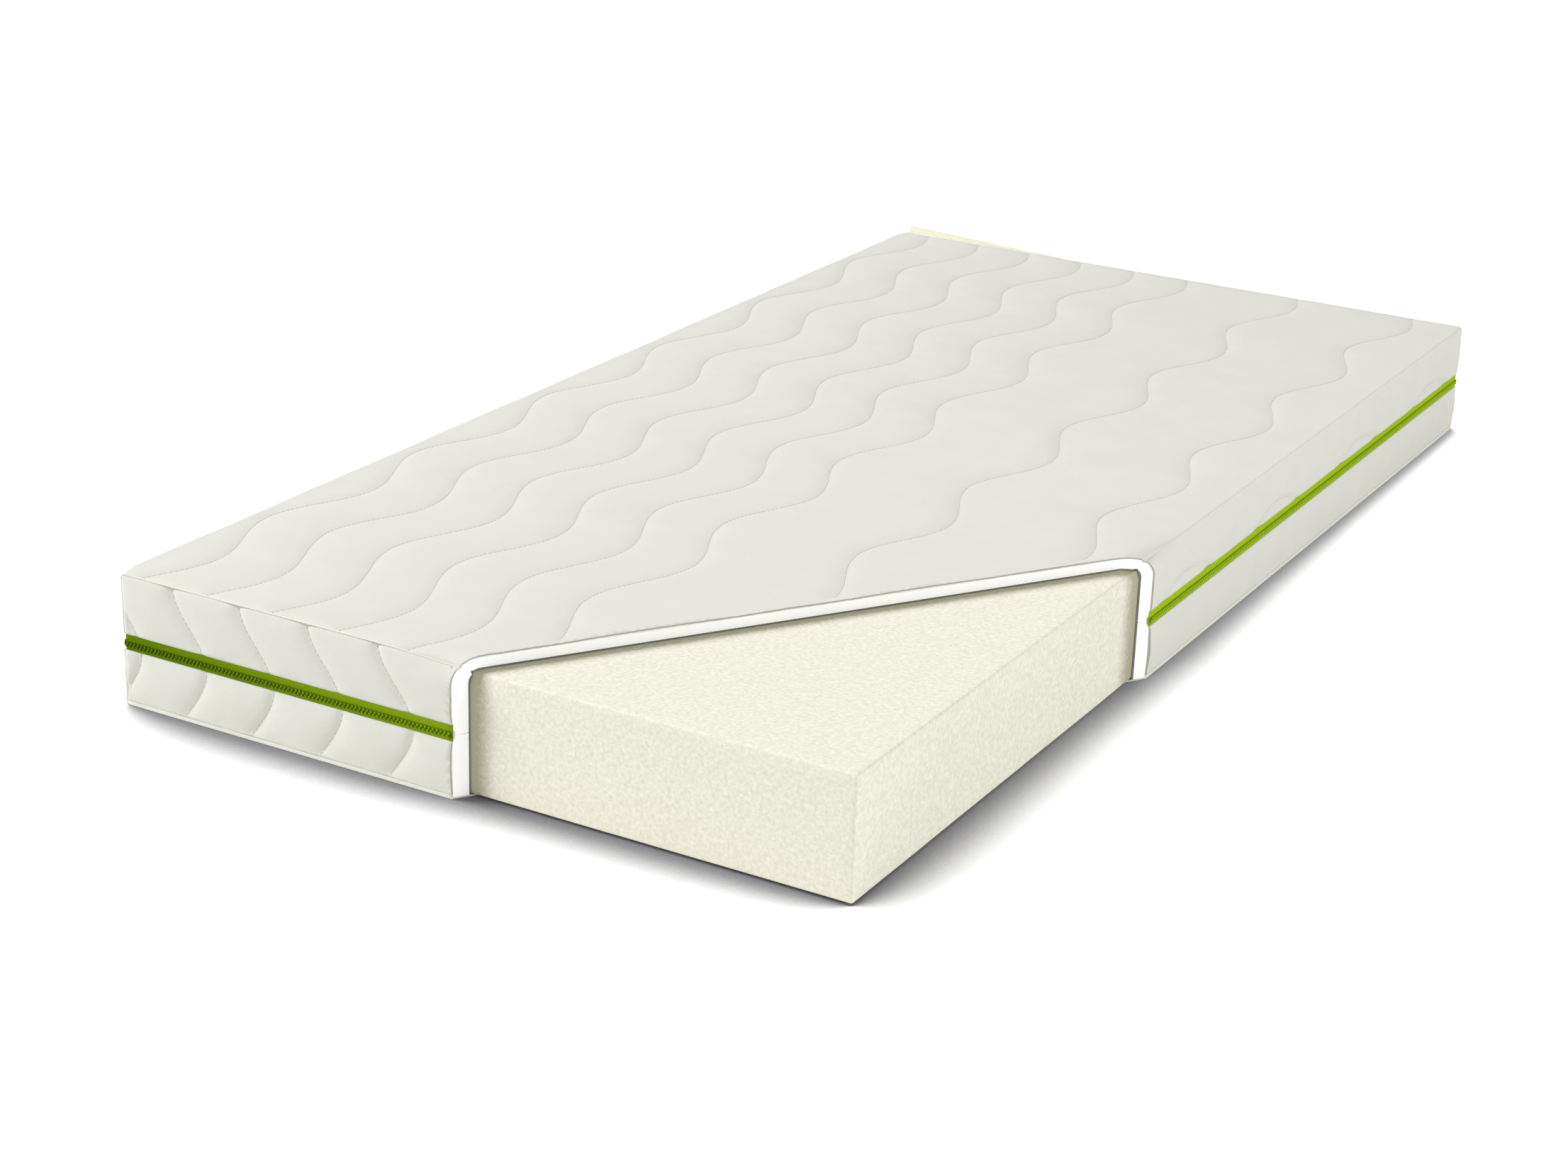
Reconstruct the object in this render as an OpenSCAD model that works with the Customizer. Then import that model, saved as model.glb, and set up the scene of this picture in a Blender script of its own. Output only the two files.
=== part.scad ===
// Foam mattress in a two-part quilted cover with a zip all round.
// One corner of the cover is cut away, so the foam block inside can be seen.
// X runs across the bed, Y from the foot (-Y) to the head (+Y), Z up from the floor.
// The origin is the middle of the underside.

/* [Mattress] */
// Width across the bed, over the cover
mattress_w = 1000; // [700:10:1800]
// Length from the foot end to the head end, over the cover
mattress_l = 2000; // [1600:10:2200]
// Height over the cover
mattress_h = 170; // [140:5:260]
// Outside radius of the top edges and of the upright corners
edge_r = 8; // [6:1:20]

/* [Cover] */
// Thickness of the quilt that lies on top
top_quilt_t = 15.5; // [8:0.5:20]
// Thickness of the quilt on the two long sides
side_quilt_t = 12.5; // [8:0.5:20]
// Thickness of the quilt on the foot and head ends
end_quilt_t = 19; // [8:0.5:24]
// Thickness of the knitted face fabric
face_t = 1.5; // [1:0.1:2.2]
// Thickness of the thin lining behind the wadding
lining_t = 0.8; // [0.4:0.1:1.5]
// Thickness of the plain fabric underneath
base_t = 2; // [1:0.2:4]
// Gap between two layers that are quilted together
layer_gap = 0.1; // [0.05:0.05:0.2]
// Gap between the cover and the foam block
core_fit = 0.4; // [0.3:0.1:1.5]
// Radius of the foam block's edges
core_r = 4; // [3:0.5:10]

/* [Cut-away corner] */
// Length of the opening along the foot end, from the right corner
cut_along_foot = 518; // [200:2:600]
// Length of the opening along the right side, from the foot corner
cut_along_side = 768; // [200:2:1100]

/* [Quilting] */
// Distance between the stitched waves on top
top_pitch = 96.4; // [60:0.2:160]
// Distance from the left edge to the first wave on top
top_first = 42; // [40:1:80]
// Swing of a wave on top, to either side
top_swing = 23; // [5:1:23]
// Length of one wave on top
top_wave = 305; // [150:5:500]
// Distance between the stitched waves on the ends
end_pitch = 100; // [60:1:160]
// Distance from the left edge to the first wave on the ends, which is only part on
end_first = 2; // [0:1:60]
// Swing of a wave on the ends, to either side
end_swing = 24.5; // [5:0.5:30]
// Length of one wave on the ends
end_wave = 205; // [150:5:500]
// Height above the floor at which the waves on the ends swing furthest to the right
end_crest_z = 70; // [40:1:100]
// Distance between the crests of the wave on the long sides
side_wave = 325; // [200:5:500]
// Swing of the wave on the long sides
side_swing = 19; // [10:1:40]
// Depth of the crests on the long sides below the top
side_crest = 61.5; // [30:0.5:64]
// Width of the valley that a line of stitches pulls into the fabric
groove_w = 3; // [2:0.5:6]
// Depth of that valley
groove_d = 1; // [0.6:0.1:1.2]
// Width of a line of quilting thread
thread_w = 1; // [0.5:0.1:1.5]
// Thickness of a line of quilting thread
thread_t = 0.4; // [0.2:0.1:0.5]

/* [Seams] */
// Radius of the corded seams at the ends and corners
seam_r = 1.2; // [0.8:0.1:1.2]
// Height of the binding along the bottom edge
binding_h = 5; // [4:0.5:10]

/* [Zip] */
// Height of the zip's middle line above the floor
zip_z = 79; // [50:1:90]
// Width of the closed chain, both coils together
chain_w = 7; // [5:0.5:8]
// Thickness of the coils
coil_t = 2.6; // [2:0.1:3]
// Height that the zip shows above its middle line
tape_above = 12.5; // [8:0.5:16]
// Height that the zip shows below its middle line
tape_below = 7.5; // [7.5:0.5:16]
// Thickness of the woven tapes
tape_t = 0.8; // [0.5:0.1:1]
// Gap between the upper and the lower half of the cover
split_gap = 0.8; // [0.4:0.1:1]

/* [Slider] */
// Length of the slider
slider_l = 16.5; // [14:0.5:20]
// Distance that the slider runs in the gap of the upper chain
slider_travel = 60; // [20:5:120]
// Distance of that gap's middle from the head end
gap_from_head = 240; // [240:10:1000]
// Thickness of the slider's front plate
front_plate_t = 1.3; // [1:0.1:1.6]
// Thickness of the slider's back plate
back_plate_t = 1.1; // [0.8:0.1:1.3]
// Wall of the slider beside the chain, at its tail
flange_t = 0.9; // [0.7:0.1:1.1]
// Height of the bridge over the front plate
bridge_h = 3.7; // [3.4:0.1:4.5]
// Length of the pull tab from its pin
pull_l = 30; // [20:1:45]
// Width of the pull tab at its end
pull_w = 9; // [8:0.5:12]
// Radius of the pull tab's pin
pull_pin_r = 0.9; // [0.7:0.05:1]

/* [Hidden] */
$fn = 48;
side_turn = 180;

// The cover's layers, as depths below its outer face: face, wadding, lining, inside
side_depths = [0, face_t, side_quilt_t - lining_t, side_quilt_t];
end_depths = [0, face_t, end_quilt_t - lining_t, end_quilt_t];
top_depths = [0, face_t, top_quilt_t - lining_t, top_quilt_t];
inner_r = 3;
FACE = 0;
WADDING = 1;
LINING = 2;

half_w = mattress_w / 2;
half_l = mattress_l / 2;
overcut = 1;
mitre = 40;

// The point halfway round a rounded edge, from the two faces that it joins
edge_mid = edge_r * (1 - sqrt(0.5));
seam_notch_r = seam_r + 0.15;

// Slider and the room that it needs, outwards from the cover's face
slide_gap = 0.3;
tape_front = -face_t;
tape_back = tape_front - tape_t;
coil_front = tape_front + coil_t;
back_plate_front = tape_back - slide_gap;
relief_floor = back_plate_front - back_plate_t - slide_gap;
front_plate_back = coil_front + slide_gap;
front_plate_face = front_plate_back + front_plate_t;
channel_half = chain_w / 2 + slide_gap;
tail_half = channel_half + flange_t;
head_half = tail_half + 0.6;
relief_half = head_half + slide_gap;
coil_split = 0.3;
post_half = 0.9;
post_v = coil_split / 2 + slide_gap + post_half;
pin_out = front_plate_face + slide_gap + pull_pin_r;
bridge_half_w = 1.1;
bridge_half_l = 5.2;
bridge_t = 1.1;
pull_t = 1.4;
pull_leg = 1.4;
window_half = bridge_half_w + 0.4;
window_l = bridge_half_l + 0.8;
gap_l = slider_l + slider_travel + 8;
gap_y = half_l - gap_from_head;
slider_y = gap_y + slider_travel / 2;

// Lines of stitches
wave_steps = 14;
// The 7th and the 9th wave on top are left out, so the right half is plainer
top_waves_left_out = [6, 8];
top_wave_crest = 15;
side_first_crest = 207;
band_top = zip_z + tape_above;
band_bottom = zip_z - tape_below;
top_stitch_end = half_l - edge_r;

knit = "#e6e6de";
fibre = "#ffffff";
lining_grey = "#b9b7b0";
foam = "#f0efdc";
underside_grey = "#dcdbd2";
seam_beige = "#d8d2b4";
thread = "#cfcdbd";
leaf = "#8ea81f";
leaf_dark = "#5f7a10";
green_metal = "#7c9716";

// ---- Outlines ----

// Rectangle with four round corners
module round_rect(w, l, r) {
    square([w - 2 * r, l], center = true);
    square([w, l - 2 * r], center = true);
    for (x = [-1, 1], y = [-1, 1])
        translate([x * (w / 2 - r), y * (l / 2 - r)]) circle(r);
}

// Upright section with its two top corners round, standing on y = 0
module round_top(w, h, r) {
    translate([-w / 2, 0]) square([w, h - r]);
    translate([r - w / 2, 0]) square([w - 2 * r, h]);
    for (x = [-1, 1])
        translate([x * (w / 2 - r), h - r]) circle(r);
}

// Plan of the cover at one depth below its side and end faces
module plan(side_d, end_d) {
    round_rect(mattress_w - 2 * side_d, mattress_l - 2 * end_d, max(edge_r - min(side_d, end_d), inner_r));
}

// Block inside the cover's faces by the three depths, from height z0 up
module block(side_d, end_d, top_d, r, z0) {
    h = mattress_h - top_d - z0;
    translate([0, 0, z0])
        intersection() {
            linear_extrude(h) round_rect(mattress_w - 2 * side_d, mattress_l - 2 * end_d, r);
            rotate([90, 0, 0])
                linear_extrude(mattress_l, center = true) round_top(mattress_w - 2 * side_d, h, r);
            rotate([90, 0, 90])
                linear_extrude(mattress_w, center = true) round_top(mattress_l - 2 * end_d, h, r);
        }
}

// One layer of the upper half, from its outer depth to the next layer
module upper_layer(i) {
    g = i == LINING ? 0 : layer_gap;
    z0 = i == FACE ? band_top : zip_z + split_gap / 2;
    difference() {
        block(side_depths[i], end_depths[i], top_depths[i], max(edge_r - top_depths[i], inner_r), z0);
        block(side_depths[i + 1] - g, end_depths[i + 1] - g, top_depths[i + 1] - g,
            max(edge_r - top_depths[i + 1] + g, inner_r), z0 - overcut);
        if (i == WADDING) zip_room();
        cut_away();
    }
}

// One layer of the lower half, open above and below
module lower_layer(i) {
    g = i == LINING ? 0 : layer_gap;
    z0 = i == FACE ? binding_h + layer_gap : base_t + layer_gap;
    z1 = i == FACE ? band_bottom : zip_z - split_gap / 2;
    difference() {
        translate([0, 0, z0]) linear_extrude(z1 - z0)
            round_rect(mattress_w - 2 * side_depths[i], mattress_l - 2 * end_depths[i],
                max(edge_r - top_depths[i], inner_r));
        translate([0, 0, z0 - overcut]) linear_extrude(z1 - z0 + 2 * overcut)
            round_rect(mattress_w - 2 * (side_depths[i + 1] - g), mattress_l - 2 * (end_depths[i + 1] - g),
                max(edge_r - top_depths[i + 1] + g, inner_r));
        if (i == WADDING) zip_room();
        cut_away();
    }
}

// Seat of the zip tapes, and behind the chain the room for the slider's back plate
module zip_room() {
    ring(-tape_back, band_bottom, band_top);
    ring(-relief_floor, zip_z - relief_half, zip_z + relief_half);
}

// Ring from outside the faces in to one depth
module ring(depth, z0, z1) {
    difference() {
        translate([0, 0, z0]) linear_extrude(z1 - z0) plan(-overcut, -overcut);
        translate([0, 0, z0 - overcut]) linear_extrude(z1 - z0 + 2 * overcut) plan(depth, depth);
    }
}

// Wedge of the cover that is cut away at the right corner of the foot end
module cut_away() {
    m = 20;
    translate([0, 0, -m]) linear_extrude(mattress_h + 2 * m) polygon([
        [half_w - cut_along_foot * (1 + m / cut_along_side), -half_l - m],
        [half_w + m, -half_l - m],
        [half_w + m, cut_along_side * (1 + m / cut_along_foot) - half_l]
    ]);
}

// ---- Zones: the cover's panels meet in mitres at the corners ----

// Zone of the foot end's panel, up to the mitre with the top
module foot_zone() {
    intersection() {
        linear_extrude(2 * mattress_h) polygon([
            [-half_w - mitre, -half_l - mitre],
            [half_w + mitre, -half_l - mitre],
            [half_w - mitre, mitre - half_l],
            [mitre - half_w, mitre - half_l]
        ]);
        rotate([90, 0, 90]) linear_extrude(2 * mattress_w, center = true) polygon([
            [-half_l - mitre, 0],
            [mitre - half_l, 0],
            [mitre - half_l, mattress_h - mitre],
            [-half_l - mitre, mattress_h + mitre]
        ]);
    }
}

// Zone of the left side's lower panel
module left_zone() {
    linear_extrude(mattress_h) polygon([
        [-half_w - mitre, -half_l - mitre],
        [mitre - half_w, mitre - half_l],
        [mitre - half_w, half_l - mitre],
        [-half_w - mitre, half_l + mitre]
    ]);
}

module wall_zone(wall) {
    if (wall == "foot") foot_zone();
    if (wall == "head") mirror([0, 1, 0]) foot_zone();
    if (wall == "left") left_zone();
    if (wall == "right") mirror([1, 0, 0]) left_zone();
}

// ---- Quilting ----

function wave(t, mean, swing, length, crest) = mean + swing * cos(360 * (t - crest) / length);

// Outline of one stitched wave: t runs from t0 to t1, the wave swings across it
function ribbon(t0, t1, mean, swing, length, crest, w) =
    let (n = ceil(wave_steps * (t1 - t0) / length), ts = [for (i = [0:n]) t0 + (t1 - t0) * i / n])
    concat(
        [for (i = [0:n]) [wave(ts[i], mean, swing, length, crest) - w / 2, ts[i]]],
        [for (i = [n:-1:0]) [wave(ts[i], mean, swing, length, crest) + w / 2, ts[i]]]
    );

// The places across the bed of the waves on top
top_waves = [
    for (i = [0:floor((mattress_w - edge_r - top_swing - top_first) / top_pitch)])
        if (len([for (s = top_waves_left_out) if (s == i) s]) == 0) top_first + top_pitch * i - half_w
];

// The places across the ends of the upright waves
end_waves = [
    for (i = [0:floor((mattress_w - edge_r - end_swing - end_first) / end_pitch)])
        end_first + end_pitch * i - half_w
];

module top_lines(w, z0, z1, reach) {
    for (x = top_waves)
        translate([0, 0, z0]) linear_extrude(z1 - z0)
            polygon(ribbon(-reach, reach, x, top_swing, top_wave, top_wave_crest, w));
}

// Upright waves on the flat part of the foot end, between two depths and two heights
module end_lines(w, d0, d1, z0, z1) {
    translate([0, d1 - half_l, 0]) rotate([90, 0, 0]) linear_extrude(d1 - d0)
        intersection() {
            translate([edge_r - half_w, z0]) square([mattress_w - 2 * edge_r, z1 - z0]);
            union() {
                for (x = end_waves)
                    polygon(ribbon(z0, z1, x, end_swing, end_wave, end_crest_z, w));
            }
        }
}

// Arcs of the wave that runs along a long side, above the zip
module side_lines(w, d0, d1) {
    intersection() {
        translate([half_w - d1, -half_l, band_top + layer_gap])
            cube([d1 - d0, mattress_l, mattress_h - edge_r - band_top]);
        translate([half_w - d1, 0, 0]) rotate([90, 0, 90]) linear_extrude(d1 - d0)
            polygon([for (p = ribbon(-top_stitch_end, top_stitch_end, mattress_h - side_crest - side_swing,
                side_swing, side_wave, side_first_crest, w)) [p[1], p[0]]]);
    }
}

module both_sides() {
    children();
    mirror([1, 0, 0]) children();
}

// ---- Panels ----

module top_panel(i) {
    difference() {
        upper_layer(i);
        wall_zone("foot");
        wall_zone("head");
        if (i == FACE) {
            top_lines(groove_w, mattress_h - groove_d, mattress_h + overcut, top_stitch_end + overcut);
            both_sides() side_lines(groove_w, -overcut, groove_d);
            end_seams();
        }
    }
}

module upper_end_panel(wall, i) {
    flip = wall == "foot" ? 0 : 1;
    difference() {
        intersection() {
            upper_layer(i);
            wall_zone(wall);
        }
        if (i == FACE) {
            mirror([0, flip, 0])
                end_lines(groove_w, -overcut, groove_d, band_top - overcut, mattress_h - edge_r + overcut);
            end_seams();
        }
    }
}

module lower_panel(wall, i) {
    difference() {
        intersection() {
            lower_layer(i);
            wall_zone(wall);
        }
        if (i == FACE) {
            if (wall == "foot" || wall == "head")
                mirror([0, wall == "foot" ? 0 : 1, 0])
                    end_lines(groove_w, -overcut, groove_d, binding_h, band_bottom + overcut);
            corner_posts(seam_notch_r, 0, zip_z, 1);
        }
    }
}

module face_panel(wall) color(knit) lower_panel(wall, FACE);
module wadding_panel(wall) color(fibre) lower_panel(wall, WADDING);
module lining_panel(wall) color(lining_grey) lower_panel(wall, LINING);
module top_face() color(knit) top_panel(FACE);
module top_wadding() color(fibre) top_panel(WADDING);
module top_lining() color(lining_grey) top_panel(LINING);
module end_face(wall) color(knit) upper_end_panel(wall, FACE);
module end_wadding(wall) color(fibre) upper_end_panel(wall, WADDING);
module end_lining(wall) color(lining_grey) upper_end_panel(wall, LINING);

// ---- Stitches and seams ----

module top_thread() color(thread) difference() {
    union() {
        top_lines(thread_w, mattress_h - groove_d, mattress_h - groove_d + thread_t, top_stitch_end);
        both_sides() side_lines(thread_w, groove_d - thread_t, groove_d);
    }
    cut_away();
}

module end_thread(wall, z0, z1) color(thread) difference() {
    mirror([0, wall == "foot" ? 0 : 1, 0]) end_lines(thread_w, groove_d - thread_t, groove_d, z0, z1);
    cut_away();
}

// Upright cords at all four corners; side is +1 for both ends, 0 for none
module corner_posts(r, z0, z1, side) {
    for (x = [-1, 1], y = [-1, 1] * side)
        translate([x * (half_w - edge_mid), y * (half_l - edge_mid), z0]) cylinder(r = r, h = z1 - z0);
}

// Room for the corded seams in the face fabric of the upper half
module end_seams() {
    end_seam(seam_notch_r);
    mirror([0, 1, 0]) end_seam(seam_notch_r);
}

// Cord up one corner of the foot end, along its top edge and down the other corner
module end_seam(r) {
    for (x = [-1, 1])
        translate([x * (half_w - edge_mid), edge_mid - half_l, 0]) {
            translate([0, 0, band_top + layer_gap])
                cylinder(r = r, h = mattress_h - edge_mid - band_top - layer_gap);
            translate([0, 0, mattress_h - edge_mid]) sphere(r);
        }
    translate([0, edge_mid - half_l, mattress_h - edge_mid]) rotate([0, 90, 0])
        cylinder(r = r, h = mattress_w - 2 * edge_mid, center = true);
}

module seam_cord(wall) color(seam_beige) difference() {
    mirror([0, wall == "foot" ? 0 : 1, 0]) end_seam(seam_r);
    cut_away();
}

module lower_corner_seams() color(seam_beige) difference() {
    corner_posts(seam_r, binding_h + layer_gap, band_bottom - layer_gap, 1);
    cut_away();
}

// ---- Underside ----

module base_fabric() color(underside_grey) difference() {
    linear_extrude(base_t) plan(face_t, face_t);
    cut_away();
}

module base_binding() color(seam_beige) difference() {
    translate([0, 0, layer_gap]) linear_extrude(binding_h - layer_gap) difference() {
        plan(0, 0);
        plan(face_t - layer_gap, face_t - layer_gap);
    }
    cut_away();
}

// ---- Foam block ----

module foam_core() color(foam)
    block(side_quilt_t + core_fit, end_quilt_t + core_fit, top_quilt_t + core_fit, core_r, base_t + core_fit);

// ---- Zip ----

// Carries a section round the cover; its x points outwards from the face, its y up from the zip's line
module round_the_cover() {
    for (turn = [0, side_turn])
        rotate([0, 0, turn]) {
            translate([half_w, 0, zip_z]) rotate([90, 0, 0])
                linear_extrude(mattress_l - 2 * edge_r, center = true) children();
            translate([0, half_l, zip_z]) rotate([90, 0, 90])
                linear_extrude(mattress_w - 2 * edge_r, center = true) children();
        }
    for (x = [-1, 1], y = [-1, 1])
        translate([x * (half_w - edge_r), y * (half_l - edge_r), zip_z])
            rotate([0, 0, x > 0 ? (y > 0 ? 0 : 270) : (y > 0 ? 90 : 180)])
                rotate_extrude(angle = 90) translate([edge_r, 0]) children();
}

// Section of one coil: flat on the tape, round outside
module coil_section() {
    w = (chain_w - coil_split) / 2;
    r = coil_t / 2;
    translate([tape_front, coil_split / 2]) square([coil_t - r, w]);
    translate([tape_front, coil_split / 2 + r]) square([coil_t, w - 2 * r]);
    for (y = [r, w - r])
        translate([coil_front - r, coil_split / 2 + y]) circle(r);
}

// The stretch on the left side where the upper chain leaves a gap for the slider
module slider_gap() {
    translate([-half_w - mitre / 2, gap_y - gap_l / 2, zip_z - split_gap])
        cube([mitre, gap_l, relief_half + split_gap]);
}

module upper_zip_tape() color(leaf) difference() {
    round_the_cover() translate([tape_back, split_gap / 2]) square([tape_t, tape_above - split_gap / 2]);
    slider_gap();
    cut_away();
}

module lower_zip_tape() color(leaf) difference() {
    round_the_cover() translate([tape_back, -tape_below]) square([tape_t, tape_below - split_gap / 2]);
    cut_away();
}

module upper_zip_coil() color(leaf_dark) difference() {
    round_the_cover() coil_section();
    slider_gap();
    cut_away();
}

module lower_zip_coil() color(leaf_dark) difference() {
    round_the_cover() mirror([0, 1]) coil_section();
    cut_away();
}

// ---- Slider: in its own frame x points out of the side, y to its tail, z up ----

module at_slider() {
    translate([-half_w, slider_y, zip_z]) rotate([0, 0, side_turn]) children();
}

// Outline of the slider's plates, wide at the head and narrow at the tail
module slider_outline() {
    r = 1.6;
    hull() {
        for (y = [-1, 1]) {
            translate([r - slider_l / 2, y * (head_half - r)]) circle(r, $fn = 24);
            translate([slider_l / 2 - r, y * (tail_half - r)]) circle(r, $fn = 24);
        }
    }
}

// Lays a flat shape into the slider's plane, with its thickness pointing outwards
module slider_plate(x0, x1) {
    translate([x0, 0, 0]) rotate([90, 0, 90]) linear_extrude(x1 - x0) children();
}

module slider_body() color(green_metal) at_slider() {
    slider_plate(front_plate_back, front_plate_face) slider_outline();
    slider_plate(back_plate_front - back_plate_t, back_plate_front) slider_outline();
    slider_plate(tape_front + slide_gap, front_plate_back) difference() {
        slider_outline();
        square([2 * slider_l, 2 * channel_half], center = true);
    }
    slider_plate(back_plate_front, front_plate_back) hull() {
        translate([2 - slider_l / 2, post_v]) circle(post_half, $fn = 24);
        translate([6 - slider_l / 2, post_v]) circle(post_half / 3, $fn = 24);
    }
    translate([0, 0, -bridge_half_w]) linear_extrude(2 * bridge_half_w) bridge_section();
}

// Arch that holds the pull tab's pin
module bridge_section() {
    top = front_plate_face + bridge_h;
    r = 1.6;
    difference() {
        union() {
            translate([front_plate_face - front_plate_t / 2, -bridge_half_l])
                square([top - r - front_plate_face + front_plate_t / 2, 2 * bridge_half_l]);
            translate([front_plate_face - front_plate_t / 2, r - bridge_half_l])
                square([top - front_plate_face + front_plate_t / 2, 2 * (bridge_half_l - r)]);
            for (y = [-1, 1])
                translate([top - r, y * (bridge_half_l - r)]) circle(r);
        }
        translate([front_plate_face, bridge_t - bridge_half_l])
            square([bridge_h - bridge_t, 2 * (bridge_half_l - bridge_t)]);
    }
}

module slider_pull() color(green_metal) at_slider() translate([pin_out, 0, 0]) {
    leg_mid = window_half + pull_leg / 2;
    cylinder(r = pull_pin_r, h = 2 * (window_half + pull_leg), center = true);
    slider_plate(-pull_t / 2, pull_t / 2) difference() {
        hull() {
            for (z = [-1, 1]) {
                translate([pull_pin_r / 2, z * leg_mid]) circle(pull_leg / 2, $fn = 24);
                translate([pull_l - pull_w / 4, z * pull_w / 4]) circle(pull_w / 4, $fn = 32);
            }
        }
        translate([-pull_pin_r, -window_half]) square([window_l + pull_pin_r, 2 * window_half]);
        translate([pull_l - pull_w / 2, 0]) circle(pull_w / 5);
    }
}

foam_core();
base_fabric();
base_binding();
face_panel("foot");  // foot_lower_face
wadding_panel("foot");  // foot_lower_wadding
lining_panel("foot");  // foot_lower_lining
face_panel("head");  // head_lower_face
wadding_panel("head");  // head_lower_wadding
lining_panel("head");  // head_lower_lining
face_panel("left");  // left_lower_face
wadding_panel("left");  // left_lower_wadding
lining_panel("left");  // left_lower_lining
face_panel("right");  // right_lower_face
wadding_panel("right");  // right_lower_wadding
lining_panel("right");  // right_lower_lining
lower_corner_seams();
end_thread("foot", binding_h + thread_w, band_bottom - thread_w);  // foot_lower_thread
end_thread("head", binding_h + thread_w, band_bottom - thread_w);  // head_lower_thread
lower_zip_tape();
lower_zip_coil();
top_face();
top_wadding();
top_lining();
top_thread();
end_face("foot");  // foot_upper_face
end_wadding("foot");  // foot_upper_wadding
end_lining("foot");  // foot_upper_lining
end_thread("foot", band_top + thread_w, mattress_h - edge_r);  // foot_upper_thread
end_face("head");  // head_upper_face
end_wadding("head");  // head_upper_wadding
end_lining("head");  // head_upper_lining
end_thread("head", band_top + thread_w, mattress_h - edge_r);  // head_upper_thread
seam_cord("foot");  // foot_end_seam
seam_cord("head");  // head_end_seam
upper_zip_tape();
upper_zip_coil();
slider_body();
slider_pull();
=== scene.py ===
"""Foam mattress in a two-part quilted cover with a green zip all round, one corner of the cover cut away.

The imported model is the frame. Each sub-assembly is a class: it works its surfaces out with numpy, as functions of two
parameters or as a profile carried along a path, and rides them on the CAD bodies. All lengths are in metres.
"""

import logging
import math
from dataclasses import dataclass, field
from enum import Enum

import bmesh
import bpy
import numpy as np
from mathutils import Matrix, Vector


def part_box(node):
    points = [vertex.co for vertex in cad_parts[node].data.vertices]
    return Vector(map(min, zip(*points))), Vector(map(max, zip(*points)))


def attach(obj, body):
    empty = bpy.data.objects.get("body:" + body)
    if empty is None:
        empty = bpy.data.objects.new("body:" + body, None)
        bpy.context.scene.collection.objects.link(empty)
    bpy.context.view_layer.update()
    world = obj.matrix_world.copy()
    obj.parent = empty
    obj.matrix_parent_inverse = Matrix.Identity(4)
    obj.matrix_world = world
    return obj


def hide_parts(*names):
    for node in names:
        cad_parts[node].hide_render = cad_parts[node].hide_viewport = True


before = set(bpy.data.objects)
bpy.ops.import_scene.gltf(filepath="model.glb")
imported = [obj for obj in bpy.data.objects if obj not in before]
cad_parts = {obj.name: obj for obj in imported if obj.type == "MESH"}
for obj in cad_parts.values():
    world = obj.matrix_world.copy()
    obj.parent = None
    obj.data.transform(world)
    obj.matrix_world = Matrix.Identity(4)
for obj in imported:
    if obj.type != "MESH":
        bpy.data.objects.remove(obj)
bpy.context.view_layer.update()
MM = 0.001
log = logging.getLogger("mattress")

Array = np.ndarray
Tree = bpy.types.NodeTree
Socket = bpy.types.NodeSocket
Material = bpy.types.Material
Piece = bpy.types.Object


# ---- Small tools ----


def linear(hex_colour: str) -> tuple[float, ...]:
    """Turns a colour from sRGB hex, as "#rrggbb", to linear red, green and blue with an alpha of 1."""
    parts = [int(hex_colour[i : i + 2], 16) / 255 for i in (1, 3, 5)]
    return tuple(c / 12.92 if c <= 0.04045 else ((c + 0.055) / 1.055) ** 2.4 for c in parts) + (1.0,)


def add_node(tree: Tree, kind: str, settings: dict) -> bpy.types.Node:
    """Adds one node with its settings and links.

    Args:
        tree: The material's or the world's tree.
        kind: The node's type without its "ShaderNode" prefix.
        settings: Values by property name, or by an input's name or number. A socket is linked to its input.

    Returns:
        The new node.
    """
    made = tree.nodes.new("ShaderNode" + kind)
    for key, value in settings.items():
        if isinstance(value, Socket):
            tree.links.new(value, made.inputs[key])
        elif isinstance(key, int) or (key in made.inputs and not hasattr(made, key)):
            made.inputs[key].default_value = value
        else:
            setattr(made, key, value)
    return made


def vec(*parts: Array | float) -> Array:
    """The parts, broadcast to one shape, as the components along a new last axis."""
    return np.stack(np.broadcast_arrays(*parts), -1)


def spread(start: float, end: float, step: float) -> Array:
    """Evenly spaced values from start to end, about one step apart."""
    return np.linspace(start, end, max(2, int(round(abs(end - start) / step)) + 1))


def unit(vectors: Array) -> Array:
    """The vectors of the last axis, each divided by its own length."""
    return vectors / np.linalg.norm(vectors, axis=-1, keepdims=True)


def run_length(points: Array) -> Array:
    """Length along a line of points, from 0 at the first."""
    return np.concatenate([[0], np.cumsum(np.linalg.norm(np.diff(points, axis=0), axis=1))])


def turns(count: int) -> Array:
    """Angles once round, evenly spaced from 0."""
    return np.arange(count) * 2 * math.pi / count


def unevenness(a: Array, b: Array, scale: float, seed: int) -> Array:
    """Slow rise and fall of hand-laid cloth: the mean of six plane waves with turned directions and phases.

    Args:
        a: Places along the first direction of the cloth.
        b: Places along the second direction.
        scale: Mean wavelength.
        seed: Picks the directions and phases.

    Returns:
        Values between -1 and 1, as an array of the same shape.
    """
    rng = np.random.default_rng(seed)
    turn, phase = rng.uniform(0, math.pi, 6), rng.uniform(0, 2 * math.pi, 6)
    length = scale * rng.uniform(0.6, 1.6, 6)
    waves = (a[..., None] * np.cos(turn) + b[..., None] * np.sin(turn)) * 2 * math.pi / length + phase
    return np.sin(waves).mean(axis=-1)


# ---- Meshes ----


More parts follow.
